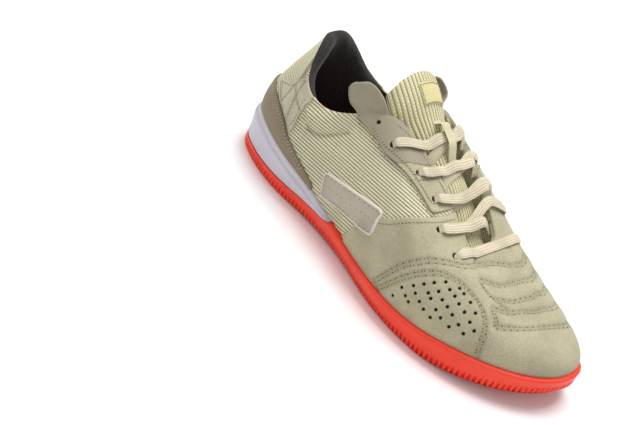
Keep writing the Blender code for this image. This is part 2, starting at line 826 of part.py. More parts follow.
def eyelet_place(number, side, lift):
    """Centre of an eyelet over the upper; number 0 is the unused one at the top."""
    station, level = EYELETS[number]
    station = station if side < 0 else 1.0 - station
    return upper_row([station], [level], lift)[0]


def raised_over(path, lower, full, none):
    """A path lifted where it crosses a strand.

    lower holds the strand's path and lean.  Only its part between the two edges of the throat
    counts.  The lift is whole up to full widths of the lace beside it and ends at none widths.
    """
    lower, lean = [part[UNDER_POINTS:-OVER_POINTS] for part in lower]
    gap = np.linalg.norm(path[:, None, 0:2] - lower[None, :, 0:2], axis=2)
    close = np.argmin(gap, axis=1)
    gap = gap.min(axis=1)
    beside = path[:, 0:2] - lower[close, 0:2]
    tilt = lean[close, 0:2] / lean[close, 2:3]
    nearest = lower[close, 2] - np.sum(tilt * beside, axis=1)
    wanted = nearest + LACE_THICKNESS + CLEARANCE + CROSS_ROOM
    weight = np.clip((none - gap / LACE_WIDTH) / (none - full), 0.0, 1.0)
    path = path.copy()
    path[:, 2] += weight * np.maximum(wanted - path[:, 2], 0.0)
    return path


def strand_path(start, over, hole):
    """Path of a strand: from under one edge of the throat, over the tongue and to a hole.

    start is a pair of station and level under the edge, over one on the other edge of the
    throat, hole the side and number of the eyelet.
    """
    bed = KNIT_WALL + CLEARANCE + 0.5 * LACE_THICKNESS + UNDER_ROOM
    top = 2 * CLEARANCE + SUEDE_WALL + 0.5 * LACE_THICKNESS + LACE_LIFT
    side, number = hole
    station, level = EYELETS[number]
    station = station if side < 0 else 1.0 - station
    ride = np.linspace(0.0, 1.0, OVER_POINTS)
    over_stations = over[0] + (station - over[0]) * ride
    over_levels = over[1] + (level - over[1]) * ride
    over_path = upper_row(over_stations, over_levels, top)
    edge = upper_row([start[0]] * 2, [start[1], 1.0], -bed)
    middle = 0.5 * (edge[-1:] + over_path[:1])
    stops = np.vstack([edge, middle, over_path])
    leans = np.vstack([upper_normal([start[0]] * 2, [start[1], 1.0]), tongue_normal(*middle[0, 0:2]),
                       upper_normal(over_stations, over_levels)])
    reach = np.concatenate([[0.0], np.cumsum(np.linalg.norm(np.diff(stops[:, 0:2], axis=0), axis=1))])
    along = np.linspace(0.0, reach[-1], LACE_POINTS)
    x, y, z = [smooth_table(reach, stops[:, k], along) for k in range(3)]
    lean = np.column_stack([np.interp(along, reach, leans[:, k]) for k in range(3)])
    floor = tongue_height(x, y) + CLEARANCE + 0.5 * LACE_THICKNESS + LACE_FLOAT
    z = np.where(along < reach[3], np.maximum(z, floor), z)
    return np.column_stack([x, y, z]), lean


def strand(name, path, lean, material, narrow_both=False):
    """A strand of the flat lace, square to lean and drawn in a little where it enters its eyelet."""
    count = len(path)
    side = np.cross(lean, np.gradient(path, axis=0))
    width = np.full(count, LACE_WIDTH)
    width[-2:] *= NARROWED
    if narrow_both:
        width[:2] *= NARROWED[::-1]
    return strap(name, path, side, width, LACE_THICKNESS, material)


def level_at(station, x):
    """Level at which a station of the upper reaches a place along the shoe, in the upper half."""
    levels = np.linspace(0.5, 1.0, 201)
    reached = upper_point(np.full(201, station), levels)[:, 0]
    return levels[np.argmin(np.abs(reached - x))]


def make_laces(material):
    """Four crossings and the straight bar at the bottom, each strand a solid of its own."""
    lows = []
    highs = []
    crossed = []
    for number, row in enumerate(STRANDS, 1):
        lateral_from, lateral_over, medial_from, medial_over = row
        lows.append(strand_path((medial_from, UNDER_LEVEL), (1.0 - medial_over, OVER_LEVEL), (1, number)))
        highs.append(strand_path((1.0 - lateral_from, UNDER_LEVEL), (lateral_over, OVER_LEVEL), (-1, number)))
    for number, (low, high) in enumerate(zip(lows, highs), 1):
        path = raised_over(high[0], low, CROSS_FULL, CROSS_NONE)
        strand("lace_inward_%d" % number, *low, material)
        strand("lace_outward_%d" % number, path, high[1], material)
        crossed.append((path, high[1]))
    top = 2 * CLEARANCE + SUEDE_WALL + 0.5 * LACE_THICKNESS + BAR_LIFT
    first, last = EYELETS[-1][0], 1.0 - EYELETS[-1][0]
    ends = [eyelet_place(len(STRANDS) + 1, side, top) for side in (-1, 1)]
    share = np.linspace(0.0, 1.0, LACE_POINTS)
    station = first + (last - first) * share
    reached = ends[0][0] + (ends[1][0] - ends[0][0]) * share
    level = np.array([level_at(*place) for place in zip(station, reached)])
    path = upper_row(station, level, top)
    strand("lace_bar", path, upper_normal(station, level), material, narrow_both=True)
    return lows[0], crossed[0]


def make_keeper(crossing, material):
    """The strap on the tongue that the top crossing runs under."""
    share = np.linspace(KEEPER_FROM, KEEPER_TO, KEEPER_POINTS)
    path = tongue_sheet(share, np.full(KEEPER_POINTS, KEEPER_ACROSS))
    path[:, 2] += CLEARANCE + KEEPER_FLOAT + 0.5 * KEEPER_WALL
    for below in crossing:
        path = raised_over(path, below, KEEPER_FULL, KEEPER_NONE)
    side = np.tile(np.array([0.0, 1.0, 0.0]), (KEEPER_POINTS, 1))
    strap("lace_keeper", path, side, KEEPER_WIDTH, KEEPER_WALL, material)


def make_eyelet_cutter():
    """The drills of the eyelets, one short rod for each."""
    points = []
    faces = []
    for side in (-1, 1):
        for number in range(len(EYELETS)):
            low = eyelet_place(number, side, -2.0 * KNIT_WALL)
            high = eyelet_place(number, side, 3.0 * KNIT_WALL)
            axis = (high - low) / np.linalg.norm(high - low)
            first = np.cross(axis, (1.0, 0.0, 0.0))
            first /= np.linalg.norm(first)
            second = np.cross(axis, first)
            angle = np.arange(EYELET_SIDES) * 2 * math.pi / EYELET_SIDES
            ring = np.outer(np.cos(angle), first) + np.outer(np.sin(angle), second)
            ring *= 0.5 * EYELET_DIAMETER
            start = len(points)
            points.extend(low + ring)
            points.extend(high + ring)
            for i in range(EYELET_SIDES):
                k = (i + 1) % EYELET_SIDES
                faces.append((start + i, start + k, start + EYELET_SIDES + k, start + EYELET_SIDES + i))
            faces.append(tuple(start + i for i in range(EYELET_SIDES - 1, -1, -1)))
            faces.append(tuple(start + EYELET_SIDES + i for i in range(EYELET_SIDES)))
    cutter = add_solid("eyelet_cutter", points, faces, plain_material("cutter", (0.5, 0.5, 0.5), 0.5))
    cutter.hide_render = True
    cutter.display_type = "WIRE"
    return cutter


def cut_eyelets(solid, cutter):
    """Open the eyelets in one piece."""
    cut = solid.modifiers.new("eyelets", "BOOLEAN")
    cut.operation = "DIFFERENCE"
    cut.solver = "EXACT"
    cut.object = cutter


def plain_material(name, colour, roughness, metallic=0.0):
    """A Principled material in one colour."""
    material = bpy.data.materials.new(name)
    material.use_nodes = True
    shader = material.node_tree.nodes["Principled BSDF"]
    shader.inputs["Base Color"].default_value = colour + (1.0,)
    shader.inputs["Roughness"].default_value = roughness
    shader.inputs["Metallic"].default_value = metallic
    material.diffuse_color = colour + (1.0,)
    return material


def clear_scene():
    """Remove what the scene held before."""
    for old in list(bpy.data.objects):
        bpy.data.objects.remove(old, do_unlink=True)


def main():
    """Build the shoe from the sole up."""
    clear_scene()
    rubber = plain_material("orange_rubber", (0.80, 0.08, 0.03), 0.55)
    foam = plain_material("white_foam", (0.74, 0.72, 0.78), 0.5)
    felt = plain_material("insole_felt", (0.45, 0.03, 0.03), 0.9)
    knit = plain_material("cream_knit", (0.66, 0.64, 0.44), 0.95)
    make_outsole(rubber)
    make_midsole(foam)
    make_insole(felt)
    upper = make_upper(knit)
    suede = plain_material("vamp_suede", (0.46, 0.43, 0.29), 0.95)
    vamp = overlay("vamp_suede", VAMP_FIRST, STATIONS - VAMP_FIRST, both_sides(FOOT_EDGE), both_sides(VAMP_TOP),
                   SUEDE_WALL, suede)
    counter_suede = plain_material("counter_suede", (0.33, 0.30, 0.18), 0.95)
    overlay("heel_counter", -COUNTER_LAST, COUNTER_LAST, both_sides(FOOT_EDGE), both_sides(COUNTER_TOP),
            SUEDE_WALL, counter_suede)
    leather = plain_material("eyestay_leather", (0.46, 0.41, 0.30), 0.7)
    patch = plain_material("ankle_leather", (0.52, 0.50, 0.34), 0.75)
    holed = [upper, vamp]
    for word, side in (("lateral", -1), ("medial", 1)):
        mirrored = side > 0
        span = {}
        for key, (first, last) in PATCH_COLUMNS.items():
            span[key] = (STATIONS - last, STATIONS - first) if mirrored else (first, last)
        eyestay = overlay("eyestay_" + word, *span["eyestay"], curve_of(EYESTAY_LOW, mirrored),
                          curve_of(FULL, mirrored), SUEDE_WALL, leather)
        holed.append(eyestay)
        make_tab("eyestay_tab_" + word, side, leather)
        overlay("ankle_panel_" + word, *span["ankle"], curve_of(ANKLE_LOW, mirrored),
                curve_of(ANKLE_TOP, mirrored), SUEDE_WALL, patch)
        overlay("collar_patch_" + word, *span["collar"], curve_of(COLLAR_LOW, mirrored),
                curve_of(COLLAR_TOP, mirrored), SUEDE_WALL, patch)
    film = plain_material("side_film", (0.62, 0.52, 0.46), 0.35)
    overlay("side_film", *FILM_COLUMNS, curve_of(FILM_LOW), curve_of(FILM_TOP), FILM_WALL, film)
    cutter = make_eyelet_cutter()
    for solid in holed:
        cut_eyelets(solid, cutter)
    make_tongue(knit)
    make_label(plain_material("woven_label", (0.70, 0.66, 0.42), 0.85))
    lace = plain_material("flat_lace", (0.68, 0.63, 0.48), 0.9)
    crossing = make_laces(lace)
    make_keeper(crossing, plain_material("keeper_knit", (0.72, 0.69, 0.47), 0.9))


main()
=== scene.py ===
"""Looks of an indoor soccer shoe, right foot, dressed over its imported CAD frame.

Every surface of the upper is drawn from one form, ShoeForm.wall, over stations round the foot
(0 at the back of the heel, 0.5 at the toe, the outer side first) and levels up the wall
(0 at the sole, 1 at the collar or the throat).  +X points to the toe, -Y to the outer side.
"""
import logging
import math
from dataclasses import dataclass, field
from enum import Enum
from typing import Callable, Sequence

import bpy
import numpy as np
from mathutils import Matrix, Vector

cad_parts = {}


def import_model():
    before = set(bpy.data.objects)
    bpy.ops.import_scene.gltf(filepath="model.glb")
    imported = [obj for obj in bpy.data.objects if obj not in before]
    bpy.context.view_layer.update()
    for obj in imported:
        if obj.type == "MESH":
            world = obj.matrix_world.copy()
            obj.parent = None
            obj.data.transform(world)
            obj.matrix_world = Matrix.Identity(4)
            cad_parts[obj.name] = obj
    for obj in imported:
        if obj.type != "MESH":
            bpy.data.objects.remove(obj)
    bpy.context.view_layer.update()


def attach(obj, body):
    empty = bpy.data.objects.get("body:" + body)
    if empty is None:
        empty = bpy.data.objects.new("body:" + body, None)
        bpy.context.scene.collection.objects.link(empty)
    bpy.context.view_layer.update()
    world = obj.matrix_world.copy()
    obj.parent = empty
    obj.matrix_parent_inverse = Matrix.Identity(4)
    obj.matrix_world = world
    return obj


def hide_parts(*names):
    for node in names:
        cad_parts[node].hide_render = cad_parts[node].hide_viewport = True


LOG = logging.getLogger("shoe")
Array = np.ndarray
Curve = Callable[[Array], Array]
Colour = tuple[float, float, float]
Value = bpy.types.NodeSocket | float | tuple | None

UP = np.array([0.0, 0.0, 1.0])
# Steps of station or level over which slopes of the plan, normals and scales are measured
PLAN_STEP = 1e-4
NORMAL_STEP = 1e-3
SCALE_STEP = 2e-3

# Sizes of the shoe, metres
LENGTH = 0.288
BALL_WIDTH = 0.101
HEEL_HEIGHT = 0.095
SOLE_HEIGHT = 0.0307
TOE_SPRING = 0.0128
KNIT_WALL = 0.0018
SOLE_CLEARANCE = 0.0003
TONGUE_PAD = 0.008
LACE_WIDTH = 0.0068
LACE_THICKNESS = 0.0014
CLEARANCE = 0.0004
SUEDE_WALL = 0.0012
# Spacing of the places of a sewn line, and the distance kept where no hole, seam or edge is near
PATH_SPACING = 0.0005
FAR = 0.02

# Plan of the sole's widest line: share of LENGTH, share of BALL_WIDTH
OUTLINE = (
    (0.000, -0.009), (0.020, -0.191), (0.085, -0.311), (0.200, -0.396), (0.330, -0.406),
    (0.450, -0.443), (0.570, -0.520), (0.690, -0.548), (0.800, -0.488), (0.900, -0.340),
    (0.970, -0.135), (1.000, 0.125), (0.978, 0.337), (0.900, 0.439), (0.790, 0.463),
    (0.680, 0.439), (0.570, 0.347), (0.450, 0.273), (0.330, 0.292), (0.200, 0.357),
    (0.085, 0.321), (0.020, 0.186),
)
SOLE_COLUMNS = ("x", "wall_top", "rubber_top", "tread_inset", "foot_inset")
SOLE = (
    (0.00, 0.998, 0.200, 0.013, 0.038), (0.10, 0.944, 0.245, 0.020, 0.038),
    (0.20, 0.865, 0.300, 0.038, 0.038), (0.30, 0.745, 0.390, 0.056, 0.038),
    (0.38, 0.580, 0.500, 0.060, 0.040), (0.50, 0.492, 0.800, 0.062, 0.042),
    (0.60, 0.494, 0.900, 0.058, 0.044), (0.70, 0.511, 0.900, 0.046, 0.046),
    (0.85, 0.646, 0.900, 0.020, 0.047), (1.00, 0.753, 0.900, 0.012, 0.047),
)
UNDERSIDE = (
    (0.000, 0.110), (0.045, 0.000), (0.240, 0.000), (0.330, 0.085), (0.450, 0.095),
    (0.600, 0.000), (0.760, 0.000), (0.850, 0.220), (0.940, 0.600), (1.000, 1.000),
)
RIM_COLUMNS = ("station", "x", "y", "z", "rise", "swell_low", "reach", "drop", "swell_high")
RIM = (
    (0.000, 0.075, 0.020, 1.002, 0.33, 0.028, 0.00, 0.35, 0.075),
    (0.035, 0.087, -0.060, 1.002, 0.33, 0.028, 0.00, 0.35, 0.070),
    (0.080, 0.113, -0.168, 0.926, 0.33, 0.030, 0.00, 0.35, 0.055),
    (0.150, 0.158, -0.278, 0.781, 0.33, 0.039, 0.00, 0.33, 0.035),
    (0.215, 0.228, -0.306, 0.740, 0.35, 0.040, 0.00, 0.33, 0.030),
    (0.270, 0.306, -0.262, 0.851, 0.40, 0.040, 0.20, 0.30, 0.030),
    (0.310, 0.382, -0.168, 0.967, 0.43, 0.040, 0.50, 0.24, 0.010),
    (0.345, 0.460, -0.100, 0.893, 0.43, 0.036, 0.61, 0.29, 0.000),
    (0.380, 0.540, -0.072, 0.796, 0.43, 0.032, 0.64, 0.40, 0.000),
    (0.415, 0.612, -0.085, 0.686, 0.48, 0.027, 0.64, 0.40, 0.000),
    (0.450, 0.661, -0.098, 0.600, 0.50, 0.027, 0.64, 0.40, 0.000),
    (0.485, 0.682, -0.045, 0.577, 0.54, 0.032, 0.64, 0.44, 0.000),
    (0.515, 0.683, 0.060, 0.586, 0.47, 0.024, 0.61, 0.44, 0.000),
    (0.550, 0.671, 0.160, 0.613, 0.45, 0.024, 0.61, 0.42, 0.000),
    (0.585, 0.612, 0.218, 0.700, 0.39, 0.019, 0.61, 0.40, 0.000),
    (0.620, 0.539, 0.250, 0.815, 0.34, 0.024, 0.61, 0.40, 0.000),
    (0.655, 0.459, 0.262, 0.905, 0.38, 0.031, 0.59, 0.27, 0.010),
    (0.690, 0.380, 0.280, 0.975, 0.42, 0.039, 0.49, 0.24, 0.020),
    (0.730, 0.310, 0.305, 0.835, 0.40, 0.040, 0.20, 0.30, 0.030),
    (0.785, 0.229, 0.329, 0.753, 0.35, 0.040, 0.00, 0.33, 0.030),
    (0.850, 0.156, 0.293, 0.791, 0.33, 0.039, 0.00, 0.33, 0.035),
    (0.920, 0.098, 0.225, 0.932, 0.33, 0.030, 0.00, 0.35, 0.055),
    (0.965, 0.077, 0.125, 1.006, 0.33, 0.028, 0.00, 0.35, 0.070),
)
# Tongue: x, middle, height, half width, crown, pad
TONGUE = (
    (0.332, 0.060, 1.202, 0.165, 0.060, 0.60), (0.340, 0.056, 1.188, 0.200, 0.095, 0.90),
    (0.368, 0.062, 1.126, 0.202, 0.105, 0.95), (0.410, 0.076, 1.028, 0.187, 0.140, 0.80),
    (0.465, 0.082, 0.918, 0.187, 0.152, 0.66), (0.535, 0.074, 0.802, 0.185, 0.134, 0.56),
    (0.604, 0.056, 0.672, 0.180, 0.106, 0.48), (0.660, 0.030, 0.550, 0.166, 0.060, 0.36),
    (0.705, 0.030, 0.488, 0.140, 0.030, 0.28),
)

# Edges of the panels: station, level
VAMP_TOP = (
    (0.2250, 0.09), (0.2500, 0.27), (0.2750, 0.39), (0.3000, 0.46), (0.3250, 0.57),
    (0.3500, 0.70), (0.3750, 0.83), (0.4000, 0.95), (0.4125, 1.00), (0.5000, 1.00),
)
COUNTER_TOP = (
    (0.0000, 0.320), (0.0875, 0.310), (0.1000, 0.285), (0.1125, 0.225), (0.1250, 0.190),
    (0.1500, 0.120), (0.1625, 0.070),
)
EYESTAY_LOW = (
    (0.2750, 0.955), (0.2875, 0.870), (0.3000, 0.775), (0.3250, 0.745), (0.3500, 0.735),
    (0.3625, 0.785), (0.3750, 0.848), (0.4000, 0.968),
)
EYESTAY_STEP = ((0.2750, 0.600), (0.3040, 0.740), (0.3300, 0.850), (0.3640, 1.000))
PATCH_LOW = (
    (0.0500, 0.405), (0.0625, 0.390), (0.0750, 0.350), (0.0875, 0.330), (0.1000, 0.308), (0.1125, 0.280),
    (0.1200, 0.370), (0.1330, 0.560), (0.1500, 0.690), (0.1750, 0.860), (0.1875, 0.940),
)
PATCH_TOP = (
    (0.0500, 0.450), (0.0625, 0.510), (0.0750, 0.570), (0.0875, 0.665), (0.1000, 0.770), (0.1250, 0.910),
    (0.1375, 0.985), (0.1500, 1.000), (0.1875, 1.000),
)
PATCH_RIDGES = (
    ((0.0760, 0.360), (0.0800, 0.450), (0.0880, 0.630)),
    ((0.1020, 0.320), (0.1040, 0.450), (0.1100, 0.640), (0.1260, 0.820), (0.1420, 0.970)),
    ((0.0900, 0.660), (0.1090, 0.640), (0.1400, 0.640)),
)
EYELETS = (
    (0.294, 0.945), (0.306, 0.850), (0.335, 0.835), (0.359, 0.830), (0.3625, 0.700), (0.386, 0.675),
)
# Stations of each crossing: outward from and over, inward from and over
STRANDS = (
    (0.350, 0.339, 0.362, 0.333), (0.376, 0.366, 0.387, 0.358), (0.404, 0.394, 0.411, 0.386),
    (0.434, 0.424, 0.447, 0.405),
)
EDGE_LEVEL = 0.975
TAB_STATIONS = (0.272, 0.306)
# Rows across a tab: left and right end, each as x, y, z
TAB = (
    (0.280, -0.252, 0.885, 0.347, -0.205, 1.050),
    (0.263, -0.248, 0.965, 0.312, -0.225, 1.085),
    (0.270, -0.244, 1.018, 0.293, -0.234, 1.066),
)

# Punched holes of the side panel of the vamp, and its sewn lines: station, level
PUNCHES = (
    (0.3212, 0.156), (0.3337, 0.231), (0.3450, 0.300), (0.3563, 0.369), (0.3700, 0.444),
    (0.3138, 0.062), (0.3275, 0.131), (0.3375, 0.200), (0.3513, 0.275), (0.3625, 0.344),
    (0.3750, 0.419), (0.3875, 0.488), (0.3925, 0.475), (0.3325, 0.113), (0.3438, 0.175),
    (0.3550, 0.256), (0.3675, 0.312), (0.3813, 0.406), (0.4000, 0.450), (0.3500, 0.150),
    (0.3625, 0.213), (0.3738, 0.294), (0.3862, 0.375), (0.3588, 0.131), (0.3688, 0.181),
    (0.3800, 0.263), (0.3925, 0.344), (0.4050, 0.394), (0.3788, 0.156), (0.3875, 0.219),
    (0.3987, 0.294), (0.3937, 0.169), (0.4037, 0.244),
)
ARCH_OUTER = (
    (0.2860, 0.03), (0.2975, 0.13), (0.3138, 0.25), (0.3300, 0.35), (0.3525, 0.481), (0.3775, 0.594),
    (0.3962, 0.665), (0.4163, 0.750), (0.4500, 0.880), (0.4900, 0.919), (0.5188, 0.894), (0.5475, 0.844),
    (0.5800, 0.745), (0.6038, 0.665), (0.6225, 0.594), (0.6475, 0.481), (0.6700, 0.350), (0.6862, 0.250),
    (0.7025, 0.130), (0.7140, 0.030),
)
ARCH_INNER = (
    (0.2913, 0.019), (0.3100, 0.163), (0.3375, 0.344), (0.3625, 0.475), (0.3838, 0.537), (0.4000, 0.544),
    (0.4125, 0.513), (0.4175, 0.450), (0.4175, 0.325), (0.4138, 0.156), (0.4138, 0.020),
)
ROW_TWO = (
    (0.4625, 0.640), (0.4463, 0.655), (0.4363, 0.663), (0.4300, 0.680), (0.4263, 0.694), (0.4330, 0.735),
    (0.4550, 0.788), (0.4900, 0.806), (0.5262, 0.794), (0.5487, 0.756), (0.5800, 0.660), (0.6050, 0.560),
)
ROW_THREE = (
    (0.4363, 0.655), (0.4463, 0.669), (0.4688, 0.706), (0.5000, 0.713), (0.5238, 0.700),
    (0.5375, 0.694), (0.5700, 0.600), (0.5950, 0.500),
)
ROW_FOUR = (
    (0.4288, 0.394), (0.4313, 0.469), (0.4325, 0.544), (0.4537, 0.600), (0.4850, 0.644), (0.5125, 0.625),
    (0.5325, 0.606), (0.5620, 0.520), (0.5850, 0.430),
)
ROW_FIVE = (
    (0.4288, 0.394), (0.4537, 0.475), (0.4788, 0.519), (0.5050, 0.519), (0.5312, 0.475),
    (0.5560, 0.390), (0.5750, 0.310),
)
# The clear band, a rounded rectangle as seen square from the side: station and level of its middle,
# rise of its length in radians, then length, half width and corner in metres
BAND_AT = (0.2480, 0.393)
BAND_RISE = 0.22
BAND_LENGTH = 0.058
BAND_HALF = 0.0090
BAND_CORNER = 0.0045
# Soft creases: start station and level, end station and level, half width and depth in metres
CREASES = (
    (0.165, 0.610, 0.262, 0.850, 0.0021, 0.0017),
    (0.185, 0.800, 0.255, 0.945, 0.0060, -0.0019),
    (0.195, 0.560, 0.250, 0.700, 0.0050, -0.0006),
    (0.175, 0.520, 0.225, 0.600, 0.0040, 0.0003),
    (0.330, 0.560, 0.352, 0.400, 0.0050, 0.0004),
    (0.425, 0.880, 0.560, 0.900, 0.0040, 0.0005),
    (0.428, 0.740, 0.560, 0.760, 0.0035, 0.0004),
    (0.440, 0.560, 0.560, 0.600, 0.0040, 0.0004),
    (0.738, 0.850, 0.835, 0.610, 0.0021, 0.0017),
    (0.745, 0.945, 0.815, 0.800, 0.0060, -0.0019),
    (0.330, 0.560, 0.420, 0.400, 0.0200, -0.0008),
    (0.425, 0.960, 0.560, 0.950, 0.0045, -0.0007),
    (0.430, 0.830, 0.560, 0.850, 0.0040, -0.0006),
    (0.432, 0.620, 0.560, 0.690, 0.0040, -0.0005),
    (0.432, 0.500, 0.560, 0.540, 0.0050, -0.0005),
)
# Rings of a thread: place along it, swell and dip, as shares of its length, radius and radius
THREAD_RINGS = ((-0.5, 0.15, -0.9), (-0.42, 0.7, -0.35), (-0.2, 1.0, 0.25), (0.2, 1.0, 0.25),
                (0.42, 0.7, -0.35), (0.5, 0.15, -0.9))
# Weights that soften a lace's path, fullness of a rib's crown, and the painted shade inside a hole
SOFTENING = np.array([1, 4, 6, 4, 1]) / 16
RIB_POWER = 0.55
HOLE_SHADE_COLOUR = (0.012, 0.011, 0.008)


class Side(Enum):
    """Which side of the foot a piece is on; its value is the sign of y."""

    LATERAL = -1
    MEDIAL = 1

    @property
    def word(self) -> str:
        """The side as it stands in the names of pieces."""
        return self.name.lower()

    def turned(self, station: Array | float) -> Array | float:
        """A station of the outer side, or its mirror image on the inner side."""
        return station if self is Side.LATERAL else 1.0 - station

    def rows(self, table: Sequence[Sequence[float]], rise: float = 0.0) -> Array:
        """Rows of station and level on this side, with the levels raised."""
        return np.array([(self.turned(station), level + rise) for station, level in table])


def cubic(u: Array, width: Array, start: Array, end: Array, slope: Array, last_slope: Array) -> Array:
    """Cubic over a width from start to end, with a slope at each end, at shares u of the width."""
    return ((2 * u**3 - 3 * u**2 + 1) * start + (u**3 - 2 * u**2 + u) * width * slope
            + (3 * u**2 - 2 * u**3) * end + (u**3 - u**2) * width * last_slope)


def closed_spline(knots: Array, values: Array, at: Array) -> Array:
    """Smooth closed curve through rows of values at rising knots, over a period of 1.

    Args:
        knots: Rising places of the rows within one period.
        values: A row of values for each knot.
        at: Places to evaluate.

    Returns:
        The rows at those places; each cell is the cubic whose ends meet its neighbours' slopes.
    """
    count = len(knots)
    steps = np.diff(np.append(knots, knots[0] + 1.0))
    before = np.roll(steps, 1)
    following = np.roll(values, -1, axis=0)
    slopes = (following - values) / steps[:, None]
    i = np.arange(count)
    matrix = np.zeros((count, count))
    matrix[i, i - 1] = steps
    matrix[i, i] = 2.0 * (before + steps)
    matrix[i, (i + 1) % count] = before
    right = 3.0 * (steps[:, None] * np.roll(slopes, 1, axis=0) + before[:, None] * slopes)
    tangents = np.linalg.solve(matrix, right)
    at = (np.asarray(at, float) - knots[0]) % 1.0 + knots[0]
    cell = np.clip(np.searchsorted(knots, at, side="right") - 1, 0, count - 1)
    u = ((at - knots[cell]) / steps[cell])[:, None]
    return cubic(u, steps[cell][:, None], values[cell], following[cell], tangents[cell],
                 np.roll(tangents, -1, axis=0)[cell])


def from_table(table: Sequence[Sequence[float]], column: int, at: Array) -> Array:
    """A column of a table against its first one, along a monotone cubic that never overshoots.

    Args:
        table: Rows that rise by their first value.
        column: Number of the column.
        at: Places to evaluate, held to the table's ends.

    Returns:
        Values there.
    """
    keys, values = np.array(table, float)[:, [0, column]].T
    at = np.clip(np.asarray(at, float), keys[0], keys[-1])
    steps = np.diff(keys)
    slopes = np.diff(values) / steps
    tangents = np.zeros(len(keys))
    tangents[0], tangents[-1] = slopes[0], slopes[-1]
    for i in range(1, len(keys) - 1):
        if slopes[i - 1] * slopes[i] > 0:
            before = 2 * steps[i] + steps[i - 1]
            after = steps[i] + 2 * steps[i - 1]
            tangents[i] = (before + after) / (before / slopes[i - 1] + after / slopes[i])
    cell = np.clip(np.searchsorted(keys, at, side="right") - 1, 0, len(keys) - 2)
    u = (at - keys[cell]) / steps[cell]
    return cubic(u, steps[cell], values[cell], values[cell + 1], tangents[cell], tangents[cell + 1])


def even_spline(rows: Array, at: Array) -> Array:
    """Smooth curve through rows at keys 0, 1, 2 and so on, by the mean slope of the neighbours.

    Args:
        rows: Values of any shape, first axis by key.
        at: Places to evaluate.

    Returns:
        Values there.
    """
    padded = np.concatenate([[2 * rows[0] - rows[1]], rows, [2 * rows[-1] - rows[-2]]])
    cell = np.clip(at.astype(int), 0, len(rows) - 2)
    u = (at - cell).reshape((-1,) + (1,) * (rows.ndim - 1))
    p0, p1, p2, p3 = (padded[cell + k] for k in range(4))
    return 0.5 * (2 * p1 + (p2 - p0) * u + (2 * p0 - 5 * p1 + 4 * p2 - p3) * u**2
                  + (3 * p1 - p0 - 3 * p2 + p3) * u**3)


def smoothstep(low: float, high: float, value: Array) -> Array:
    """Soft ramp from 0 at low to 1 at high, which may lie below low."""
    share = np.clip((np.asarray(value, float) - low) / (high - low), 0.0, 1.0)
    return share * share * (3.0 - 2.0 * share)


def power_of_wave(turn: Array, power: float) -> Array:
    """A cosine of an angle with its swing raised to a power: below 1 fuller, with its sign kept."""
    return np.sign(np.cos(turn)) * np.abs(np.cos(turn))**power


def rounded(share: Array) -> Array:
    """Quarter circle that rises from 0 at share 0 to 1 at share 1."""
    return np.sqrt(np.clip(1.0 - (1.0 - np.clip(share, 0.0, 1.0))**2, 0.0, 1.0))


def unit(vectors: Array) -> Array:
    """Vectors scaled to length 1 along their last axis."""
    return vectors / np.maximum(np.linalg.norm(vectors, axis=-1, keepdims=True), 1e-12)


def flipped_to(vectors: Array, wanted: Array) -> Array:
    """Vectors turned round where they point away from the wanted directions."""
    return vectors * np.where(np.sum(vectors * wanted, axis=-1, keepdims=True) < 0, -1.0, 1.0)


def run_along(points: Array) -> Array:
    """Length covered at each point of a path."""
    return np.concatenate([[0.0], np.cumsum(np.linalg.norm(np.diff(points, axis=0), axis=1))])


def read_at(rows: Array, keys: Array, at: Array) -> Array:
    """Rows between rising keys, each column straight from key to key."""
    return np.column_stack([np.interp(at, keys, column) for column in rows.T])


def edge_padded(values: Array, first: int, left: int, right: int) -> Array:
    """A grid with its first and last rows, and its left and right columns, repeated."""
    return np.pad(values, ((first, first), (left, right)) + ((0, 0),) * (values.ndim - 2), "edge")


def constant(level: float) -> Curve:
    """An edge that keeps one level."""
    return lambda station: np.full(np.shape(station), float(level))


def edge_curve(table: Sequence[Sequence[float]], side: Side | None = None) -> Curve:
    """A panel's edge as a level for each station.

    Args:
        table: Rows of station and level on the outer side.
        side: The side of the foot that the edge is on, or None where both sides are alike.

    Returns:
        A function of stations.
    """
    def level(station: Array) -> Array:
        """Level of the edge at stations."""
        here = np.asarray(station, float) % 1.0
        return from_table(table, 1, side.turned(here) if side else np.minimum(here, 1.0 - here))

    return level


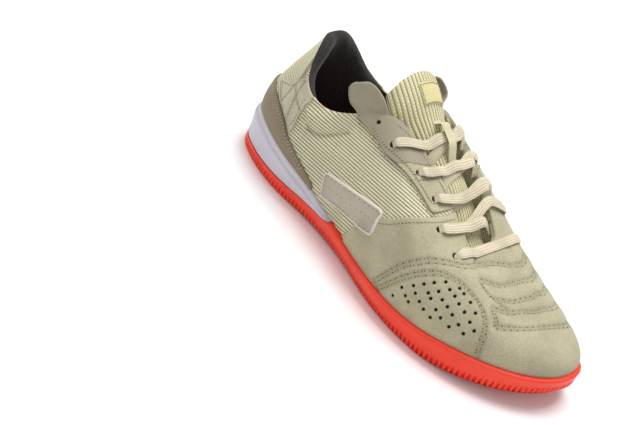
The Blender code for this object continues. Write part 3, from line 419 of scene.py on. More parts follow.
class ShoeForm:
    """The shoe's surfaces as functions, in the frame of the CAD."""

    def __init__(self) -> None:
        """Measure the plan outline once."""
        self.rows = np.array(OUTLINE) * np.array([LENGTH, BALL_WIDTH])
        chords = np.linalg.norm(np.roll(self.rows, -1, axis=0) - self.rows, axis=1)
        self.knots = np.concatenate([[0.0], np.cumsum(chords)])[:-1] / chords.sum()
        self.raw = np.linspace(0.0, 1.0, 2001)
        points = closed_spline(self.knots, self.rows, self.raw)
        run = run_along(points)
        self.girth = run[-1]
        self.arc = run / self.girth
        self.shift = -0.5 * (points.min(axis=0) + points.max(axis=0))

    def plan(self, station: Array) -> Array:
        """Rows of x and y on the widest line of the sole, at flat stations."""
        parameter = np.interp(np.asarray(station) % 1.0, self.arc, self.raw)
        return closed_spline(self.knots, self.rows, parameter) + self.shift

    def outward(self, station: Array) -> Array:
        """Unit directions in x and y out of the plan curve."""
        along = unit(self.plan(np.asarray(station) + PLAN_STEP) - self.plan(np.asarray(station) - PLAN_STEP))
        return np.stack([along[:, 1], -along[:, 0]], axis=1)

    def outward_rings(self, station: Array, count: int) -> Array:
        """The outward directions in space, repeated for a number of rings."""
        flat = np.column_stack([self.outward(station), np.zeros(len(station))])
        return np.repeat(flat[:, None], count, axis=1)

    def share(self, points: Array) -> Array:
        """Share of the shoe's length at points whose first value is x, 0 at the heel."""
        return (points[..., 0] - self.shift[0]) / LENGTH

    def sole(self, column: str, share: Array) -> Array:
        """A column of the SOLE table in metres, at shares of the length."""
        unit_length = SOLE_HEIGHT if column in ("wall_top", "rubber_top") else BALL_WIDTH
        return from_table(SOLE, SOLE_COLUMNS.index(column), share) * unit_length

    def underside(self, share: Array) -> Array:
        """Height of the tread over the floor, at shares of the length."""
        return from_table(UNDERSIDE, 1, share) * TOE_SPRING

    def wall(self, station: Array, level: Array) -> Array:
        """Outer face of the knitted upper: a cubic up each station from the sole to the rim.

        Args:
            station: Stations, any shape.
            level: Levels of the same shape.

        Returns:
            Points, with a last axis of three.
        """
        shape = np.shape(station)
        station = np.asarray(station, float).ravel()
        level = np.asarray(level, float).ravel()[:, None]
        plan = self.plan(station)
        share = self.share(plan)
        out = self.outward(station)
        foot = plan - out * self.sole("foot_inset", share)[:, None]
        foot = np.column_stack([foot, self.sole("wall_top", share) + SOLE_CLEARANCE])
        out = np.column_stack([out, np.zeros(len(out))])
        table = np.array(RIM)
        row = closed_spline(table[:, 0], table[:, 1:], station)
        rim = row[:, 0:3] * np.array([LENGTH, BALL_WIDTH, HEEL_HEIGHT])
        rim[:, 0:2] += self.shift
        bend = dict(zip(RIM_COLUMNS[1:], row.T[:, :, None]))
        height = (rim[:, 2] - foot[:, 2])[:, None]
        across = (foot - rim) * np.array([1.0, 1.0, 0.0])
        low = foot + UP * bend["rise"] * height + out * bend["swell_low"] * BALL_WIDTH
        high = rim + across * bend["reach"] - UP * bend["drop"] * height
        high += out * bend["swell_high"] * BALL_WIDTH
        point = (1 - level)**3 * foot + 3 * (1 - level)**2 * level * low
        point += 3 * (1 - level) * level**2 * high + level**3 * rim
        return point.reshape(shape + (3,))

    def slopes(self, station: Array, level: Array, step: float) -> tuple[Array, Array, Array]:
        """How the wall moves over two small steps of station and of level.

        Args:
            station: Stations.
            level: Levels.
            step: Half of the step.

        Returns:
            Move along the stations, move up the levels, and the levels covered by that.
        """
        along = self.wall(station + step, level) - self.wall(station - step, level)
        high = np.minimum(level + step, 1.0)
        low = np.maximum(level - step, 0.0)
        return along, self.wall(station, high) - self.wall(station, low), high - low

    def normal(self, station: Array, level: Array) -> Array:
        """Unit normals out of the wall."""
        along, rising, _ = self.slopes(station, level, NORMAL_STEP)
        return unit(np.cross(along, rising))

    def scale(self, station: Array, level: Array) -> tuple[Array, Array]:
        """Metres on the wall for one unit of station and of level."""
        along, rising, covered = self.slopes(station, level, SCALE_STEP)
        return np.linalg.norm(along, axis=-1) / (2 * SCALE_STEP), np.linalg.norm(rising, axis=-1) / covered

    def lifted(self, station: Array, level: Array, lift: Array | float) -> Array:
        """Points over the wall, by heights in metres along its normal."""
        station, level, lift = np.broadcast_arrays(station, level, lift)
        return self.wall(station, level) + self.normal(station, level) * lift[..., None]

    def tongue_row(self, share: Array) -> list[Array]:
        """Middle, height, half width, crown and pad of the tongue in metres, at shares of the length."""
        units = (BALL_WIDTH, HEEL_HEIGHT, BALL_WIDTH, HEEL_HEIGHT, TONGUE_PAD)
        return [from_table(TONGUE, column, share) * size for column, size in enumerate(units, 1)]

    def tongue_height(self, x: Array, y: Array) -> Array:
        """Height of the tongue's upper face over places in plan: a parabola across."""
        middle, height, half, crown, _ = self.tongue_row((x - self.shift[0]) / LENGTH)
        return height - crown * ((y - self.shift[1] - middle) / half)**2

    def tongue_normal(self, x: Array, y: Array) -> Array:
        """Upward unit normals of the tongue over places in plan, from its slopes.

        Args:
            x: Places along the shoe.
            y: Places across it.

        Returns:
            Directions, with a last axis of three.
        """
        ahead, aside = [(self.tongue_height(x - dx, y - dy) - self.tongue_height(x + dx, y + dy))
                        / (2 * PLAN_STEP) for dx, dy in ((PLAN_STEP, 0.0), (0.0, PLAN_STEP))]
        return unit(np.stack([ahead, aside, np.ones_like(ahead)], axis=-1))

    def tongue(self, share: Array, across: Array) -> Array:
        """Points of the tongue's upper face.

        Args:
            share: Shares of the length.
            across: Shares of the half width, -1 to 1.

        Returns:
            Points, with a last axis of three.
        """
        middle, height, half, crown, _ = self.tongue_row(share)
        x = share * LENGTH + self.shift[0]
        y = middle + across * half + self.shift[1]
        return np.stack([x, y, height - crown * across**2], axis=-1)


FORM = ShoeForm()


def grid_normals(points: Array) -> Array:
    """Unit normals of a grid of points, from its neighbours on both sides."""
    return unit(np.cross(np.gradient(points, axis=0), np.gradient(points, axis=1)))


def grid_object(name: str, points: Array, material: bpy.types.Material, facing: Array, wrap: bool = False,
                fields: dict[str, Array] | None = None) -> bpy.types.Object:
    """A mesh object from a grid of points, each cell one face.

    Args:
        name: Name of the object.
        points: Grid of points, rows by columns by three.
        material: Its material.
        facing: Directions that the faces should look along, one for each point.
        wrap: Whether the last row joins the first.
        fields: Values kept on each point, read by the material.

    Returns:
        The object, in the scene, at the origin.
    """
    rows, columns = points.shape[:2]
    i = np.arange(rows if wrap else rows - 1)[:, None]
    j = np.arange(columns - 1)[None, :]
    here, after = i * columns + j, (i + 1) % rows * columns + j
    quads = np.stack([here, after, after + 1, here + 1], axis=-1).reshape(-1, 4)
    flat = points.reshape(-1, 3)
    own = np.cross(flat[quads[:, 1]] - flat[quads[:, 0]], flat[quads[:, 3]] - flat[quads[:, 0]])
    if np.sum(own * facing.reshape(-1, 3)[quads[:, 0]]) < 0:
        quads = quads[:, ::-1]
    return mesh_object(name, flat, quads, material, fields)


def mesh_object(name: str, points: Array, quads: Array, material: bpy.types.Material,
                fields: dict[str, Array] | None = None) -> bpy.types.Object:
    """A smooth mesh object from points and four-sided faces.

    Args:
        name: Name of the object.
        points: Rows of points.
        quads: Rows of four point numbers.
        material: Its material.
        fields: Values kept on each point.

    Returns:
        The object, in the scene, at the origin.
    """
    mesh = bpy.data.meshes.new(name)
    mesh.vertices.add(len(points))
    mesh.vertices.foreach_set("co", np.ascontiguousarray(points, dtype=np.float32).ravel())
    mesh.loops.add(quads.size)
    mesh.loops.foreach_set("vertex_index", np.ascontiguousarray(quads, dtype=np.int32).ravel())
    mesh.polygons.add(len(quads))
    mesh.polygons.foreach_set("loop_start", np.arange(0, quads.size, 4, dtype=np.int32))
    mesh.polygons.foreach_set("use_smooth", np.ones(len(quads), dtype=bool))
    mesh.update(calc_edges=True)
    mesh.validate()
    for key, values in (fields or {}).items():
        layer = mesh.attributes.new(key, "FLOAT", "POINT")
        layer.data.foreach_set("value", np.ascontiguousarray(values, dtype=np.float32).ravel())
    mesh.materials.append(material)
    piece = bpy.data.objects.new(name, mesh)
    bpy.context.scene.collection.objects.link(piece)
    return piece


def ridden(piece: bpy.types.Object, nodes: Sequence[str] = ()) -> bpy.types.Object:
    """Tie a piece to the shoe's body and report it.

    Args:
        piece: The piece.
        nodes: CAD nodes that it stands for.

    Returns:
        The piece.
    """
    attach(piece, "root")
    if nodes:
        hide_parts(*nodes)
    LOG.info("%s: %d faces", piece.name, len(piece.data.polygons))
    return piece


class Chain:
    """Nodes of one tree, a material's or a group's, added by short calls."""

    def __init__(self, tree: bpy.types.NodeTree) -> None:
        """Keep the tree that the nodes go into."""
        self.tree = tree

    def fill(self, slot: bpy.types.NodeSocket, value: Value) -> None:
        """Set an input to a number or a colour, or join it to a socket.

        Args:
            slot: The input.
            value: What it gets; None leaves it as it is.
        """
        if isinstance(value, (int, float)):
            slot.default_value = value
        elif isinstance(value, tuple):
            slot.default_value = value + (1.0,) * (len(slot.default_value) - len(value))
        elif value is not None:
            self.tree.links.new(value, slot)

    def node(self, kind: str, inputs: dict[str | int, Value], **settings: object) -> bpy.types.Node:
        """A new node.

        Args:
            kind: Its Blender type, without the first word.
            inputs: Values of its inputs, by name or number.
            **settings: Its properties.

        Returns:
            The node.
        """
        made = self.tree.nodes.new("ShaderNode" + kind)
        for key, value in settings.items():
            setattr(made, key, value)
        for key, value in inputs.items():
            self.fill(made.inputs[key], value)
        return made

    def place(self, scale: tuple[float, float, float] = (1.0, 1.0, 1.0)) -> Value:
        """Object coordinates, scaled along each axis."""
        coordinates = self.node("TexCoord", {}).outputs["Object"]
        return self.node("Mapping", {"Vector": coordinates, "Scale": scale}).outputs["Vector"]

    def noise(self, scale: Value, detail: float = 3.0, vector: Value = None) -> Value:
        """Value of a noise with features a metre and octaves, over object coordinates or a vector."""
        inputs = {"Scale": scale, "Detail": detail, "Vector": vector or self.place()}
        return self.node("TexNoise", inputs).outputs["Fac"]

    def value(self, name: str) -> Value:
        """A value kept on the mesh, by the name of its field."""
        return self.node("Attribute", {}, attribute_name=name).outputs["Fac"]

    def maths(self, operation: str, *values: Value) -> Value:
        """One step of arithmetic on sockets or numbers."""
        return self.node("Math", dict(enumerate(values)), operation=operation).outputs[0]

    def ramp(self, value: Value, low: float, high: Value, start: float = 0.0, end: float = 1.0) -> Value:
        """A value mapped smoothly from the range low to high onto the range start to end."""
        inputs = {"From Min": low, "From Max": high, "To Min": start, "To Max": end, "Value": value}
        return self.node("MapRange", inputs, interpolation_type="SMOOTHSTEP").outputs["Result"]

    def mix(self, factor: Value, first: Value, second: Value) -> Value:
        """Two colours mixed by a factor."""
        return self.node("Mix", {0: factor, 6: first, 7: second}, data_type="RGBA").outputs[2]

    def bump(self, height: Value, distance: float, strength: float, under: Value = None) -> Value:
        """Normal of a height from 0 to 1, with metres for one unit, added to a normal under it."""
        inputs = {"Distance": distance, "Strength": strength, "Height": height, "Normal": under}
        return self.node("Bump", inputs).outputs["Normal"]


def new_group(name: str, inputs: dict[str, str], outputs: dict[str, str]) -> tuple[Chain, dict, dict]:
    """An empty node group.

    Args:
        name: Its name.
        inputs: Kind of each input by name, Color or Float.
        outputs: Kind of each output by name.

    Returns:
        Its chain, the sockets that bring its inputs, and the sockets that take its outputs.
    """
    tree = bpy.data.node_groups.new(name, "ShaderNodeTree")
    for way, kinds in (("INPUT", inputs), ("OUTPUT", outputs)):
        for key, kind in kinds.items():
            tree.interface.new_socket(name=key, in_out=way, socket_type="NodeSocket" + kind)
    return Chain(tree), tree.nodes.new("NodeGroupInput").outputs, tree.nodes.new("NodeGroupOutput").inputs


def cloud_group() -> bpy.types.NodeTree:
    """Group that shades a colour in soft clouds and fine specks, as nap, dust and handling do.

    Returns:
        The tree.
    """
    inputs = {"Colour": "Color", "Dark": "Color", "Clouds": "Float", "Specks": "Float",
              "Cloud Size": "Float", "Speck Size": "Float"}
    chain, given, wanted = new_group("cloudy_colour", inputs, {"Colour": "Color"})
    colour = given["Colour"]
    for size, share, detail in (("Cloud Size", "Clouds", 4.0), ("Speck Size", "Specks", 2.0)):
        spread = chain.ramp(chain.noise(given[size], detail), 0.38, 0.66)
        colour = chain.mix(chain.maths("MULTIPLY", spread, given[share]), colour, given["Dark"])
    chain.fill(wanted["Colour"], colour)
    return chain.tree


def ridge_group() -> bpy.types.NodeTree:
    """Group that turns a count of ribs into a rounded ridge and a mask of the groove between ribs.

    Returns:
        The tree.
    """
    chain, given, wanted = new_group("ribs", {"Count": "Float", "Groove": "Float"},
                                     {"Ridge": "Float", "Groove": "Float"})
    turn = chain.maths("MULTIPLY", given["Count"], 2.0 * math.pi)
    wave = chain.maths("MULTIPLY", chain.maths("ADD", chain.maths("COSINE", turn), 1.0), 0.5)
    chain.fill(wanted["Ridge"], chain.maths("POWER", wave, RIB_POWER))
    chain.fill(wanted["Groove"], chain.ramp(wave, 0.0, given["Groove"], 1.0, 0.0))
    return chain.tree


class Shader(Chain):
    """A material's chain, with the shared groups at hand."""

    def __init__(self, name: str, shared: "Shared") -> None:
        """Start a material.

        Args:
            name: Its name.
            shared: The groups.
        """
        self.material = bpy.data.materials.new(name)
        self.material.use_nodes = True
        super().__init__(self.material.node_tree)
        self.main = self.tree.nodes["Principled BSDF"]
        self.shared = shared

    def cloud(self, *values: Value) -> Value:
        """A clouded colour from the colour, its dark, clouds, specks, cloud size and speck size."""
        inputs = dict(enumerate(values))
        return self.node("Group", inputs, node_tree=self.shared.cloud).outputs["Colour"]

    def ribs(self, count: Value, groove: float) -> tuple[Value, Value]:
        """Ridge and groove of ribs from a count of them."""
        outputs = self.node("Group", {"Count": count, "Groove": groove}, node_tree=self.shared.ribs).outputs
        return outputs["Ridge"], outputs["Groove"]

    def swing(self, first: Value, second: Value, operation: str = "ADD") -> Value:
        """Sine of whole turns counted by the sum, or another combination, of two values."""
        return self.maths("SINE", self.maths("MULTIPLY", self.maths(operation, first, second), 2 * math.pi))

    def finish(self, colour: Value, normal: Value, roughness: Value, **others: Value) -> bpy.types.Material:
        """Join the chain to the surface.

        Args:
            colour: Base colour.
            normal: Normal.
            roughness: Roughness.
            **others: Other inputs of the Principled shader.

        Returns:
            The material.
        """
        inputs = {"Base Color": colour, "Normal": normal, "Roughness": roughness, **others}
        for key, value in inputs.items():
            self.fill(self.main.inputs[key.replace("_", " ")], value)
        return self.material


def scaled(colour: Colour, share: float) -> Colour:
    """A colour times a share, at most white."""
    return tuple(min(1.0, c * share) for c in colour)


@dataclass(frozen=True)
class KnitFinish:
    """Ribbed knit: pale crowns, grooves darkened as painted shade, and small loops along each rib with
    painted shade between them.
    """

    name: str
    crown: Colour
    groove: Colour
    loop_pitch: float = 0.0011
    groove_width: float = 0.45
    loops: float = 0.5

    def build(self, shared: "Shared") -> bpy.types.Material:
        """Make the material, which reads the fields across (ribs), along (metres) and shade (crease depth,
        painted as shade).

        Args:
            shared: Groups used by several finishes.

        Returns:
            The material.
        """
        paint = Shader(self.name, shared)
        ridge, groove = paint.ribs(paint.value("across"), self.groove_width)
        along = paint.maths("DIVIDE", paint.value("along"), self.loop_pitch)
        from_middle = paint.maths("SUBTRACT", paint.maths("FRACT", paint.value("across")), 0.5)
        lean = paint.maths("MULTIPLY", paint.maths("ABSOLUTE", from_middle), 1.2)
        loop = paint.maths("MULTIPLY_ADD", paint.swing(along, lean), 0.5, 0.5)
        cloud = paint.cloud(self.crown, scaled(self.crown, 0.80), 0.35, 0.35, 55.0, 2400.0)
        # Painted shade: the grooves between the ribs are darkened towards the groove colour
        colour = paint.mix(paint.maths("MULTIPLY", groove, 0.92), cloud, self.groove)
        # Painted shade in the creases: darker where the field shade holds a deep crease
        colour = paint.mix(paint.ramp(paint.value("shade"), 0.0004, 0.0020, 0.0, 0.42), colour,
                           scaled(self.groove, 0.8))
        # Painted shade between the loops along each rib
        shade = paint.maths("MULTIPLY", paint.maths("SUBTRACT", 1.0, loop), 0.30 * self.loops)
        colour = paint.mix(shade, colour, scaled(self.groove, 0.7))
        height = paint.maths("ADD", ridge, paint.maths("MULTIPLY", loop, 0.4 * self.loops))
        normal = paint.bump(height, 0.0005, 0.7)
        normal = paint.bump(paint.noise(2600.0, 2.0), 0.00015, 0.5, normal)
        return paint.finish(colour, normal, 0.92, Sheen_Weight=0.15, Sheen_Roughness=0.5,
                            Specular_IOR_Level=0.2)


@dataclass(frozen=True)
class SuedeFinish:
    """Suede or nubbed leather: clouded nap, fine grain, round holes darkened as painted shade, and soft seams
    with painted shade in their troughs.
    """

    name: str
    colour: Colour
    dark: Colour
    clouds: float = 0.5
    nap: float = 0.00018
    roughness: float = 0.93
    sheen: float = 0.25

    def build(self, shared: "Shared") -> bpy.types.Material:
        """Make the material, which reads the fields hole, seam and edge (metres to the nearest one).

        Args:
            shared: Groups used by several finishes.

        Returns:
            The material.
        """
        paint = Shader(self.name, shared)
        colour = paint.cloud(self.colour, self.dark, self.clouds, 0.55, 45.0, 1150.0)
        # Painted shade in the troughs by the sewn lines and inside the holes; also darker towards the panel's
        # border
        for key, low, high, most, tint in (("seam", 0.0, 0.0022, 0.38, scaled(self.dark, 0.55)),
                                           ("edge", 0.0, 0.0012, 0.30, scaled(self.dark, 0.6)),
                                           ("hole", -0.00020, 0.00022, 1.0, HOLE_SHADE_COLOUR)):
            colour = paint.mix(paint.ramp(paint.value(key), low, high, most, 0.0), colour, tint)
        streak = paint.noise(420.0, 5.0, paint.place((1.0, 1.6, 1.3)))
        normal = paint.bump(streak, self.nap * 1.6, 0.6)
        normal = paint.bump(paint.noise(2300.0), self.nap, 0.7, normal)
        return paint.finish(colour, normal, self.roughness, Sheen_Weight=self.sheen, Sheen_Roughness=0.45,
                            Specular_IOR_Level=0.22)


@dataclass(frozen=True)
class PlainFinish:
    """Rubber, foam, thread or felt: one colour with light clouds and a fine grain."""

    name: str
    colour: Colour
    dark: Colour
    roughness: float = 0.5
    clouds: float = 0.2
    specks: float = 0.1
    grain: float = 0.00006
    grain_scale: float = 1500.0
    sheen: float = 0.0
    specular: float = 0.5

    def build(self, shared: "Shared") -> bpy.types.Material:
        """Make the material.

        Args:
            shared: Groups used by several finishes.

        Returns:
            The material.
        """
        paint = Shader(self.name, shared)
        cloud = paint.cloud(self.colour, self.dark, self.clouds, self.specks, 30.0, 900.0)
        normal = paint.bump(paint.noise(self.grain_scale), self.grain, 0.6)
        rough = paint.ramp(paint.noise(60.0), 0.3, 0.7, self.roughness * 0.88, self.roughness * 1.08)
        return paint.finish(cloud, normal, rough, Sheen_Weight=self.sheen, Specular_IOR_Level=self.specular)


@dataclass(frozen=True)
class FilmFinish:
    """Clear moulded film: see-through inside, milkier along its raised rim."""

    name: str
    colour: Colour
    dark: Colour
    inside: float = 0.46
    rim: float = 0.85

    def build(self, shared: "Shared") -> bpy.types.Material:
        """Make the material, which reads the field edge (metres from the border).

        Args:
            shared: Groups used by several finishes.

        Returns:
            The material.
        """
        paint = Shader(self.name, shared)
        cloud = paint.cloud(self.colour, self.dark, 0.6, 0.35, 90.0, 1300.0)
        cover = paint.ramp(paint.value("edge"), 0.0009, 0.0021, self.rim, self.inside)
        milky = paint.ramp(paint.value("edge"), 0.0006, 0.0019, 0.75, 0.0)
        pale = paint.mix(milky, cloud, scaled(self.colour, 1.18))
        normal = paint.bump(paint.noise(900.0), 0.00025, 0.6)
        return paint.finish(pale, normal, 0.33, Alpha=cover, Coat_Weight=0.2, Coat_Roughness=0.25)


@dataclass(frozen=True)
class TapeFinish:
    """Woven lace or tape: fine diagonal weave that follows the strand, with lengthwise lines whose grooves
    are darkened as painted shade.
    """

    name: str
    colour: Colour
    dark: Colour
    lines: float = 4.0
    weave_pitch: float = 0.0009

    def build(self, shared: "Shared") -> bpy.types.Material:
        """Make the material, which reads the fields along (metres) and side (0 to 1 across).

        Args:
            shared: Groups used by several finishes.

        Returns:
            The material.
        """
        paint = Shader(self.name, shared)
        along = paint.maths("DIVIDE", paint.value("along"), self.weave_pitch)
        side = paint.value("side")
        ridge, groove = paint.ribs(paint.maths("MULTIPLY", side, self.lines), 0.30)
        slant = paint.maths("MULTIPLY", side, 9.0)
        crossed = paint.maths("MULTIPLY", paint.swing(along, slant), paint.swing(along, slant, "SUBTRACT"))
        weave = paint.maths("MULTIPLY_ADD", crossed, 0.5, 0.5)
        colour = paint.cloud(self.colour, self.dark, 0.35, 0.25, 70.0, 2000.0)
        # Painted shade in the grooves between the lengthwise lines; the weave darkens the colour in its own
        # pattern
        for mask, share in ((groove, 0.55), (weave, 0.16)):
            colour = paint.mix(paint.maths("MULTIPLY", mask, share), colour, self.dark)
        height = paint.maths("ADD", ridge, paint.maths("MULTIPLY", weave, 0.35))
        normal = paint.bump(height, 0.00025, 0.8)
        return paint.finish(colour, normal, 0.85, Sheen_Weight=0.15, Specular_IOR_Level=0.25)


Finish = KnitFinish | SuedeFinish | PlainFinish | FilmFinish | TapeFinish


@dataclass
class Shared:
    """Groups and finished materials that the pieces draw on."""

    cloud: bpy.types.NodeTree = field(default_factory=cloud_group)
    ribs: bpy.types.NodeTree = field(default_factory=ridge_group)
    made: dict[str, bpy.types.Material] = field(default_factory=dict)

    def use(self, finish: Finish) -> bpy.types.Material:
        """The material of a finish, built once.

        Args:
            finish: The finish.

        Returns:
            The material.
        """
        if finish.name not in self.made:
            self.made[finish.name] = finish.build(self)
        return self.made[finish.name]


# The second colour of a knit is the painted shade of its grooves, loop gaps and creases
KNIT = KnitFinish("cream_ribbed_knit", (0.74, 0.70, 0.49), (0.19, 0.175, 0.095), groove_width=0.42)
TONGUE_KNIT = KnitFinish("tongue_knit", (0.76, 0.70, 0.44), (0.26, 0.24, 0.13), loop_pitch=0.0016,
                         groove_width=0.40, loops=1.0)
VAMP = SuedeFinish("olive_beige_suede", (0.47, 0.44, 0.295), (0.31, 0.285, 0.18), clouds=0.50, nap=0.00035)
COUNTER = SuedeFinish("brown_olive_suede", (0.250, 0.200, 0.130), (0.17, 0.135, 0.08), clouds=0.35)
EYESTAY = SuedeFinish("taupe_leather", (0.315, 0.285, 0.205), (0.25, 0.22, 0.155), clouds=0.3, nap=0.00008,
                      roughness=0.72, sheen=0.1)
ANKLE = SuedeFinish("smooth_olive_leather", (0.56, 0.525, 0.385), (0.36, 0.335, 0.23), clouds=0.4,
                    nap=0.00008, roughness=0.55, sheen=0.1)
RUBBER = PlainFinish("orange_rubber", (0.90, 0.052, 0.020), (0.70, 0.032, 0.013), roughness=0.40,
                     clouds=0.25, specks=0.2, grain=0.00008, specular=0.4)
# White foam whose colour is dimmed to a lavender grey as painted shade
FOAM = PlainFinish("white_foam_with_lavender_painted_shade", (0.56, 0.53, 0.59), (0.46, 0.43, 0.50), roughness=0.45,
                   clouds=0.35, grain=0.00005, specular=0.45)
INSOLE = PlainFinish("red_footbed", (0.34, 0.009, 0.009), (0.20, 0.006, 0.006), roughness=0.9, clouds=0.3,
                     specks=0.4, grain=0.0002, specular=0.2)
LINING = PlainFinish("charcoal_lining", (0.052, 0.049, 0.045), (0.016, 0.015, 0.014), roughness=0.97,
                     clouds=0.5, specks=0.7, grain=0.00045, grain_scale=1100.0, sheen=0.15, specular=0.08)
FILM = FilmFinish("clear_film", (0.68, 0.60, 0.53), (0.58, 0.49, 0.43), inside=0.40)
LABEL = PlainFinish("woven_label", (0.68, 0.61, 0.33), (0.55, 0.49, 0.24), roughness=0.8, clouds=0.2,
                    specks=0.5, grain=0.0002, grain_scale=1800.0, sheen=0.1, specular=0.2)
# The second colour of a tape also paints the shade in its grooves
LACE = TapeFinish("flat_lace", (0.74, 0.66, 0.49), (0.34, 0.28, 0.19))
KEEPER = TapeFinish("keeper_tape", (0.74, 0.69, 0.47), (0.44, 0.40, 0.25), lines=6.0)
THREAD = PlainFinish("thread", (0.50, 0.46, 0.31), (0.36, 0.33, 0.20), roughness=0.7, clouds=0.3,
                     specks=0.4, grain=0.0001, specular=0.3)
# Dark discs that paint the shade inside needle holes and the film's pinholes
HOLE_SHADE_DISCS = PlainFinish("hole_shade_discs", (0.055, 0.048, 0.030), (0.03, 0.026, 0.016), roughness=0.95,
                     specular=0.1)
FLOOR = PlainFinish("pale_floor", (0.90, 0.90, 0.90), (0.88, 0.88, 0.88), roughness=0.32, clouds=0.1,
                    specks=0.0, grain=0.0, specular=0.35)


def nearest_point(points: Array, targets: Array, reach: float) -> Array:
    """Distance from each point to the nearest target, capped.

    Args:
        points: Points, last axis of three.
        targets: Rows of points.
        reach: Largest distance that is told apart.

    Returns:
        Distances in metres, in the shape of the points.
    """
    flat = points.reshape(-1, 3)
    best = np.full(len(flat), reach)
    for target in targets:
        close = np.abs(flat[:, 0] - target[0]) < reach
        best[close] = np.minimum(best[close], np.linalg.norm(flat[close] - target, axis=1))
    return best.reshape(points.shape[:-1])


def even_path(path: Array) -> Array:
    """A path of stations and levels read again at even spacing on the wall."""
    run = run_along(FORM.wall(path[:, 0], path[:, 1]))
    return read_at(path, run, np.arange(0.0, run[-1], PATH_SPACING))


def sewn_path(table: Sequence[Sequence[float]]) -> Array:
    """Even places along the smooth line through rows of station and level."""
    curve = even_spline(np.array(table, float), np.linspace(0, len(table) - 1, 40 * len(table)))
    return even_path(np.column_stack([curve[:, 0], np.clip(curve[:, 1], 0.0, 1.0)]))


def beside(path: Array, offset: float) -> Array:
    """A path moved sideways on the wall.

    Args:
        path: Rows of station and level.
        offset: Metres to the left of the path's direction.

    Returns:
        Rows of station and level.
    """
    wide, tall = FORM.scale(path[:, 0], path[:, 1])
    along = unit(np.gradient(path, axis=0) * np.column_stack([wide, tall]))
    moved = path + np.column_stack([-along[:, 1] / wide, along[:, 0] / tall]) * offset
    moved[:, 1] = np.clip(moved[:, 1], 0.0, 1.0)
    return moved


def seen_from_side(at: tuple[float, float], ahead: Array, above: Array) -> tuple[Array, Array]:
    """Places on the wall by how far they lie from one place in the side view, by Newton's steps.

    Args:
        at: Station and level of the place.
        ahead: Metres along x.
        above: Metres along z, same shape.

    Returns:
        Station and level.
    """
    goal = FORM.wall(at[0], at[1])[[0, 2]] + np.stack([ahead, above], axis=-1)
    station = np.full(ahead.shape, at[0])
    level = np.full(ahead.shape, at[1])
    for _ in range(12):
        here = FORM.wall(station, level)[..., [0, 2]]
        a = (FORM.wall(station + PLAN_STEP, level)[..., [0, 2]] - here) / PLAN_STEP
        b = (FORM.wall(station, level + PLAN_STEP)[..., [0, 2]] - here) / PLAN_STEP
        miss = goal - here
        area = a[..., 0] * b[..., 1] - a[..., 1] * b[..., 0]
        station = station + (miss[..., 0] * b[..., 1] - miss[..., 1] * b[..., 0]) / area
        level = np.clip(level + (a[..., 0] * miss[..., 1] - a[..., 1] * miss[..., 0]) / area, 0.02, 0.95)
    return station, level


@dataclass(frozen=True)
class Stitch:
    """Metres from stitch to stitch, of thread that shows, and of half its thickness."""

    pitch: float
    length: float
    radius: float


QUILT_STITCH = Stitch(0.0024, 0.0014, 0.00030)
HEEL_STITCH = Stitch(0.0026, 0.0016, 0.00032)
EYESTAY_STITCH = Stitch(0.0024, 0.0015, 0.00026)
STEP_STITCH = Stitch(0.0020, 0.0015, 0.00028)
THROAT_STITCH = Stitch(0.0024, 0.0015, 0.00024)
TAB_STITCH = Stitch(0.0024, 0.0015, 0.00022)
ANKLE_STITCH = Stitch(0.0023, 0.0014, 0.00026)
LABEL_STITCH = Stitch(0.0020, 0.0013, 0.00022)
ZIGZAG = Stitch(0.0019, 0.0021, 0.00028)


